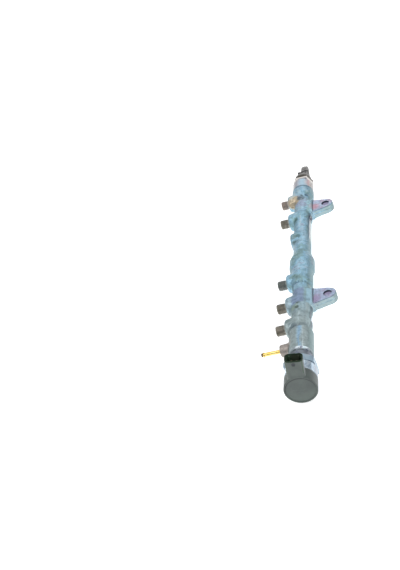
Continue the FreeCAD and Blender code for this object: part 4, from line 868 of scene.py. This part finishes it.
def plug_moulding():
    """The sensor's moulding: grey with a darker flange edge, and painted shade round the catch, in its corners and on
    the side facing +X.
    """
    p, c = moulded_paint("black_moulding", (124, 123, 121), (144, 143, 141), stain=(90, 3.0, 0.6), rough=(0.38, 0.55))
    y = p.axis("Y")
    c = p.tint(c, (64, 62, 54), 1.0, p.along(y, 175.0, 174.0))
    # painted shade in patches at the step by the catch
    c = p.tint(c, (44, 43, 42), 1.0, p.about(y, 192.5, 1.2, 3.0), p.span(p.noise(240, 2.0), 0.26, 0.38))
    # painted shade in the corners round the catch
    c = p.spots(c, (((-30.4, 191.4, 10.5), 1.5, 1.2, (34, 33, 32), 0.95),
                    ((-27.0, 193.8, 10.5), 1.1, 1.2, (34, 33, 32), 0.95),
                    ((-36.2, 192.4, 9.0), 2.2, 0.8, (34, 33, 32), 1.0),
                    ((-25.8, 188.6, 10.5), 0.9, 1.2, (50, 49, 48), 0.9)))
    # painted shade on the side facing +X
    p.color(p.tint(c, (58, 57, 56), 0.85, p.span(p.facing("X"), 0.35, 0.75), p.band(y, 182, 185, 194, 195.5)))
    return p.m


def brass():
    """The hose tail: its end painted dark as the shade of its opening, with patches of painted shade near it."""
    p = Paint("brass", Metallic=1.0)
    x = p.axis("X")
    rings, stain = p.noise(2400, 2.0, 0.6, stretch=(1.0, 0.05, 0.05)), p.noise(120)
    c = p.mix(p.span(stain, 0.35, 0.7), (240, 200, 104), (252, 228, 156))
    # painted shade at the open end
    c = p.tint(c, (62, 38, 34), 1.0, p.along(x, -71.7, -72.5))
    # patches of painted shade near the end
    p.color(p.tint(c, (104, 62, 40), 1.0, p.along(x, -70.0, -70.8), p.span(p.noise(420, 1.0), 0.56, 0.62)))
    p.rough(p.span(rings, 0.3, 0.7, 0.14, 0.30))
    p.bump((rings, 0.02), round_edges=0.15)
    return p.m


def wound(name, c1, c2):
    """A coil's winding."""
    p = Paint(name, Metallic=0.8)
    wave = p.node("TexWave")
    wave.bands_direction = "Y"
    p.put(wave, "Scale", 900)
    p.put(wave, "Vector", p.where)
    p.color(p.mix(wave.outputs["Fac"], c1, c2))
    p.rough(p.span(p.noise(400), 0.3, 0.7, 0.25, 0.4))
    p.bump((wave.outputs["Fac"], 0.15))
    return p.m


materials = {
    "plated_forging": plated_forging(),
    "plated_steel": screw_plating(),
    "sensor_steel": hexagon_steel(),
    "grey_moulding": head_moulding(),
    "black_moulding": plug_moulding(),
    "brass": brass(),
    "steel": turned("inner_steel", (150, 152, 156), (178, 180, 184)),
    "hard_steel": turned("ground_steel", (176, 178, 182), (198, 200, 204), 0.08, 0.16),
    "rubber": moulding("rubber", (28, 28, 29), (38, 38, 39), rough=(0.6, 0.8), grain=0.05, scale=900),
    "white_moulding": moulding("natural_moulding", (196, 192, 180), (208, 204, 192)),
    "copper": wound("copper_winding", (150, 76, 36), (206, 120, 70)),
    "board": moulding("circuit_board", (24, 84, 44), (34, 104, 56), rough=(0.28, 0.42), grain=0.02),
    "contacts": turned("dull_contacts", (104, 98, 84), (132, 124, 106), 0.34, 0.5),
}
slot_of = {s["node"]: s["material_slot"] for s in frame["record"]["subparts"]}
for name, obj in frame["nodes"].items():
    obj.data.materials.clear()
    obj.data.materials.append(materials[slot_of[name]])
frame["nodes"]["valve_magnet_cup"].data.materials[0] = cup_plating()

# ---------------------------------------------------------------- pieces
# low and high corners of each field's grid and its step, mm
rail = field_piece("forged_rail", forging, (-24, -190, -17), (42, 144, 17),
                   0.72, materials["plated_forging"])
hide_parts("rail_body")

collar = lathe("sensor_collar", [(12.2, 141.2), (13.0, 141.9), (13.2, 142.1), (13.2, 149.6), (13.06, 149.8),
                                 (13.06, 150.3), (13.2, 150.5), (13.2, 158.9), (12.4, 159.7), (9.8, 159.7),
                                 (9.0, 158.9), (9.0, 145.0), (9.0, 141.2)], collar_plating())
end = lathe("barrel_end", [(12.6, -186.2), (13.3, -186.9), (13.32, -188.7), (12.5, -189.5), (10.8, -189.5),
                           (10.0, -188.7), (10.0, -186.2)], end_plating())
thread = thread_steel()
for i, (y, reach) in enumerate(CONNECTIONS):
    piece = thread_piece("pipe_thread_%d" % (i + 1), y, reach, thread)

head = field_piece("moulded_head", valve_head, (-20, -241, -18.5), (20, -223.6, 40),
                   0.42, materials["grey_moulding"])
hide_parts("valve_head")
plug = field_piece("moulded_plug", sensor_plug, (-12.5, 169.8, -12.5), (12.5, 208, 12.5),
                   0.36, materials["black_moulding"])
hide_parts("sensor_socket")

# ---------------------------------------------------------------- camera, light, floor
# the camera was fitted to the photograph: its place in metres and its three directions
cam_data = bpy.data.cameras.new("camera")
cam = new_object("camera", cam_data)
right = Vector((0.93557193, 0.09628386, -0.33975664))
up = Vector((0.22242655, 0.5866112, 0.77872571))
back = Vector((0.27428377, -0.80412481, 0.52740089))
turn = Matrix((right, up, back)).transposed().to_4x4()
cam.matrix_world = Matrix.Translation((0.147322, -0.914097, 0.595582)) @ turn
cam_data.sensor_width = 36.0
cam_data.lens = 57.96
cam_data.clip_end = 50.0
bpy.context.scene.camera = cam

FLOOR_HALF, FLOOR_Z = 6, -0.0136
floor_mesh = bpy.data.meshes.new("floor")
floor_mesh.from_pydata([(i * FLOOR_HALF, j * FLOOR_HALF, FLOOR_Z) for i, j in ((-1, -1), (1, -1), (1, 1), (-1, 1))],
                       [], [(0, 1, 2, 3)])
floor = new_object("floor", floor_mesh)
pale = Paint("pale_floor", Roughness=0.9)
pale.color(pale.ramp(pale.noise(3, 2.0), (0.3, 0.86), (0.7, 0.88)))
pale.put(pale.s, "Emission Color", (1, 1, 1, 1))
pale.put(pale.s, "Emission Strength", 0.72)
floor_mesh.materials.append(pale.m)

# the studio's light is grey at the horizon and near white above
world = bpy.data.worlds.new("studio")
bpy.context.scene.world = world
world.use_nodes = True
tree = world.node_tree
tree.nodes.clear()
sky, split, grade, shine, out = [tree.nodes.new("ShaderNode" + kind) for kind in
                                 ("TexCoord", "SeparateXYZ", "ValToRGB", "Background", "OutputWorld")]
tree.links.new(sky.outputs["Generated"], split.inputs[0])
tree.links.new(split.outputs["Z"], grade.inputs[0])
set_stops(grade, [(at, (v, v, v * 1.02, 1)) for at, v in ((0.0, 0.30), (0.25, 0.34), (0.6, 0.62), (0.9, 0.9))])
tree.links.new(grade.outputs[0], shine.inputs["Color"])
shine.inputs["Strength"].default_value = 0.98
tree.links.new(shine.outputs[0], out.inputs[0])


def softbox(name, at, size, power):
    """Area light at a place, turned towards the part."""
    data = bpy.data.lights.new(name, "AREA")
    data.shape = "RECTANGLE"
    data.size, data.size_y = size
    data.energy = power
    obj = new_object(name, data)
    obj.location = at
    obj.rotation_euler = (-Vector(at)).to_track_quat("-Z", "Y").to_euler()


softbox("key", (-0.7, -0.5, 1.3), (1.0, 1.0), 5)
softbox("fill", (1.1, -0.3, 0.8), (0.5, 1.4), 4)
softbox("back", (0.0, 1.4, 0.9), (1.6, 0.5), 2.5)

bpy.context.scene.view_settings.view_transform = "Standard"
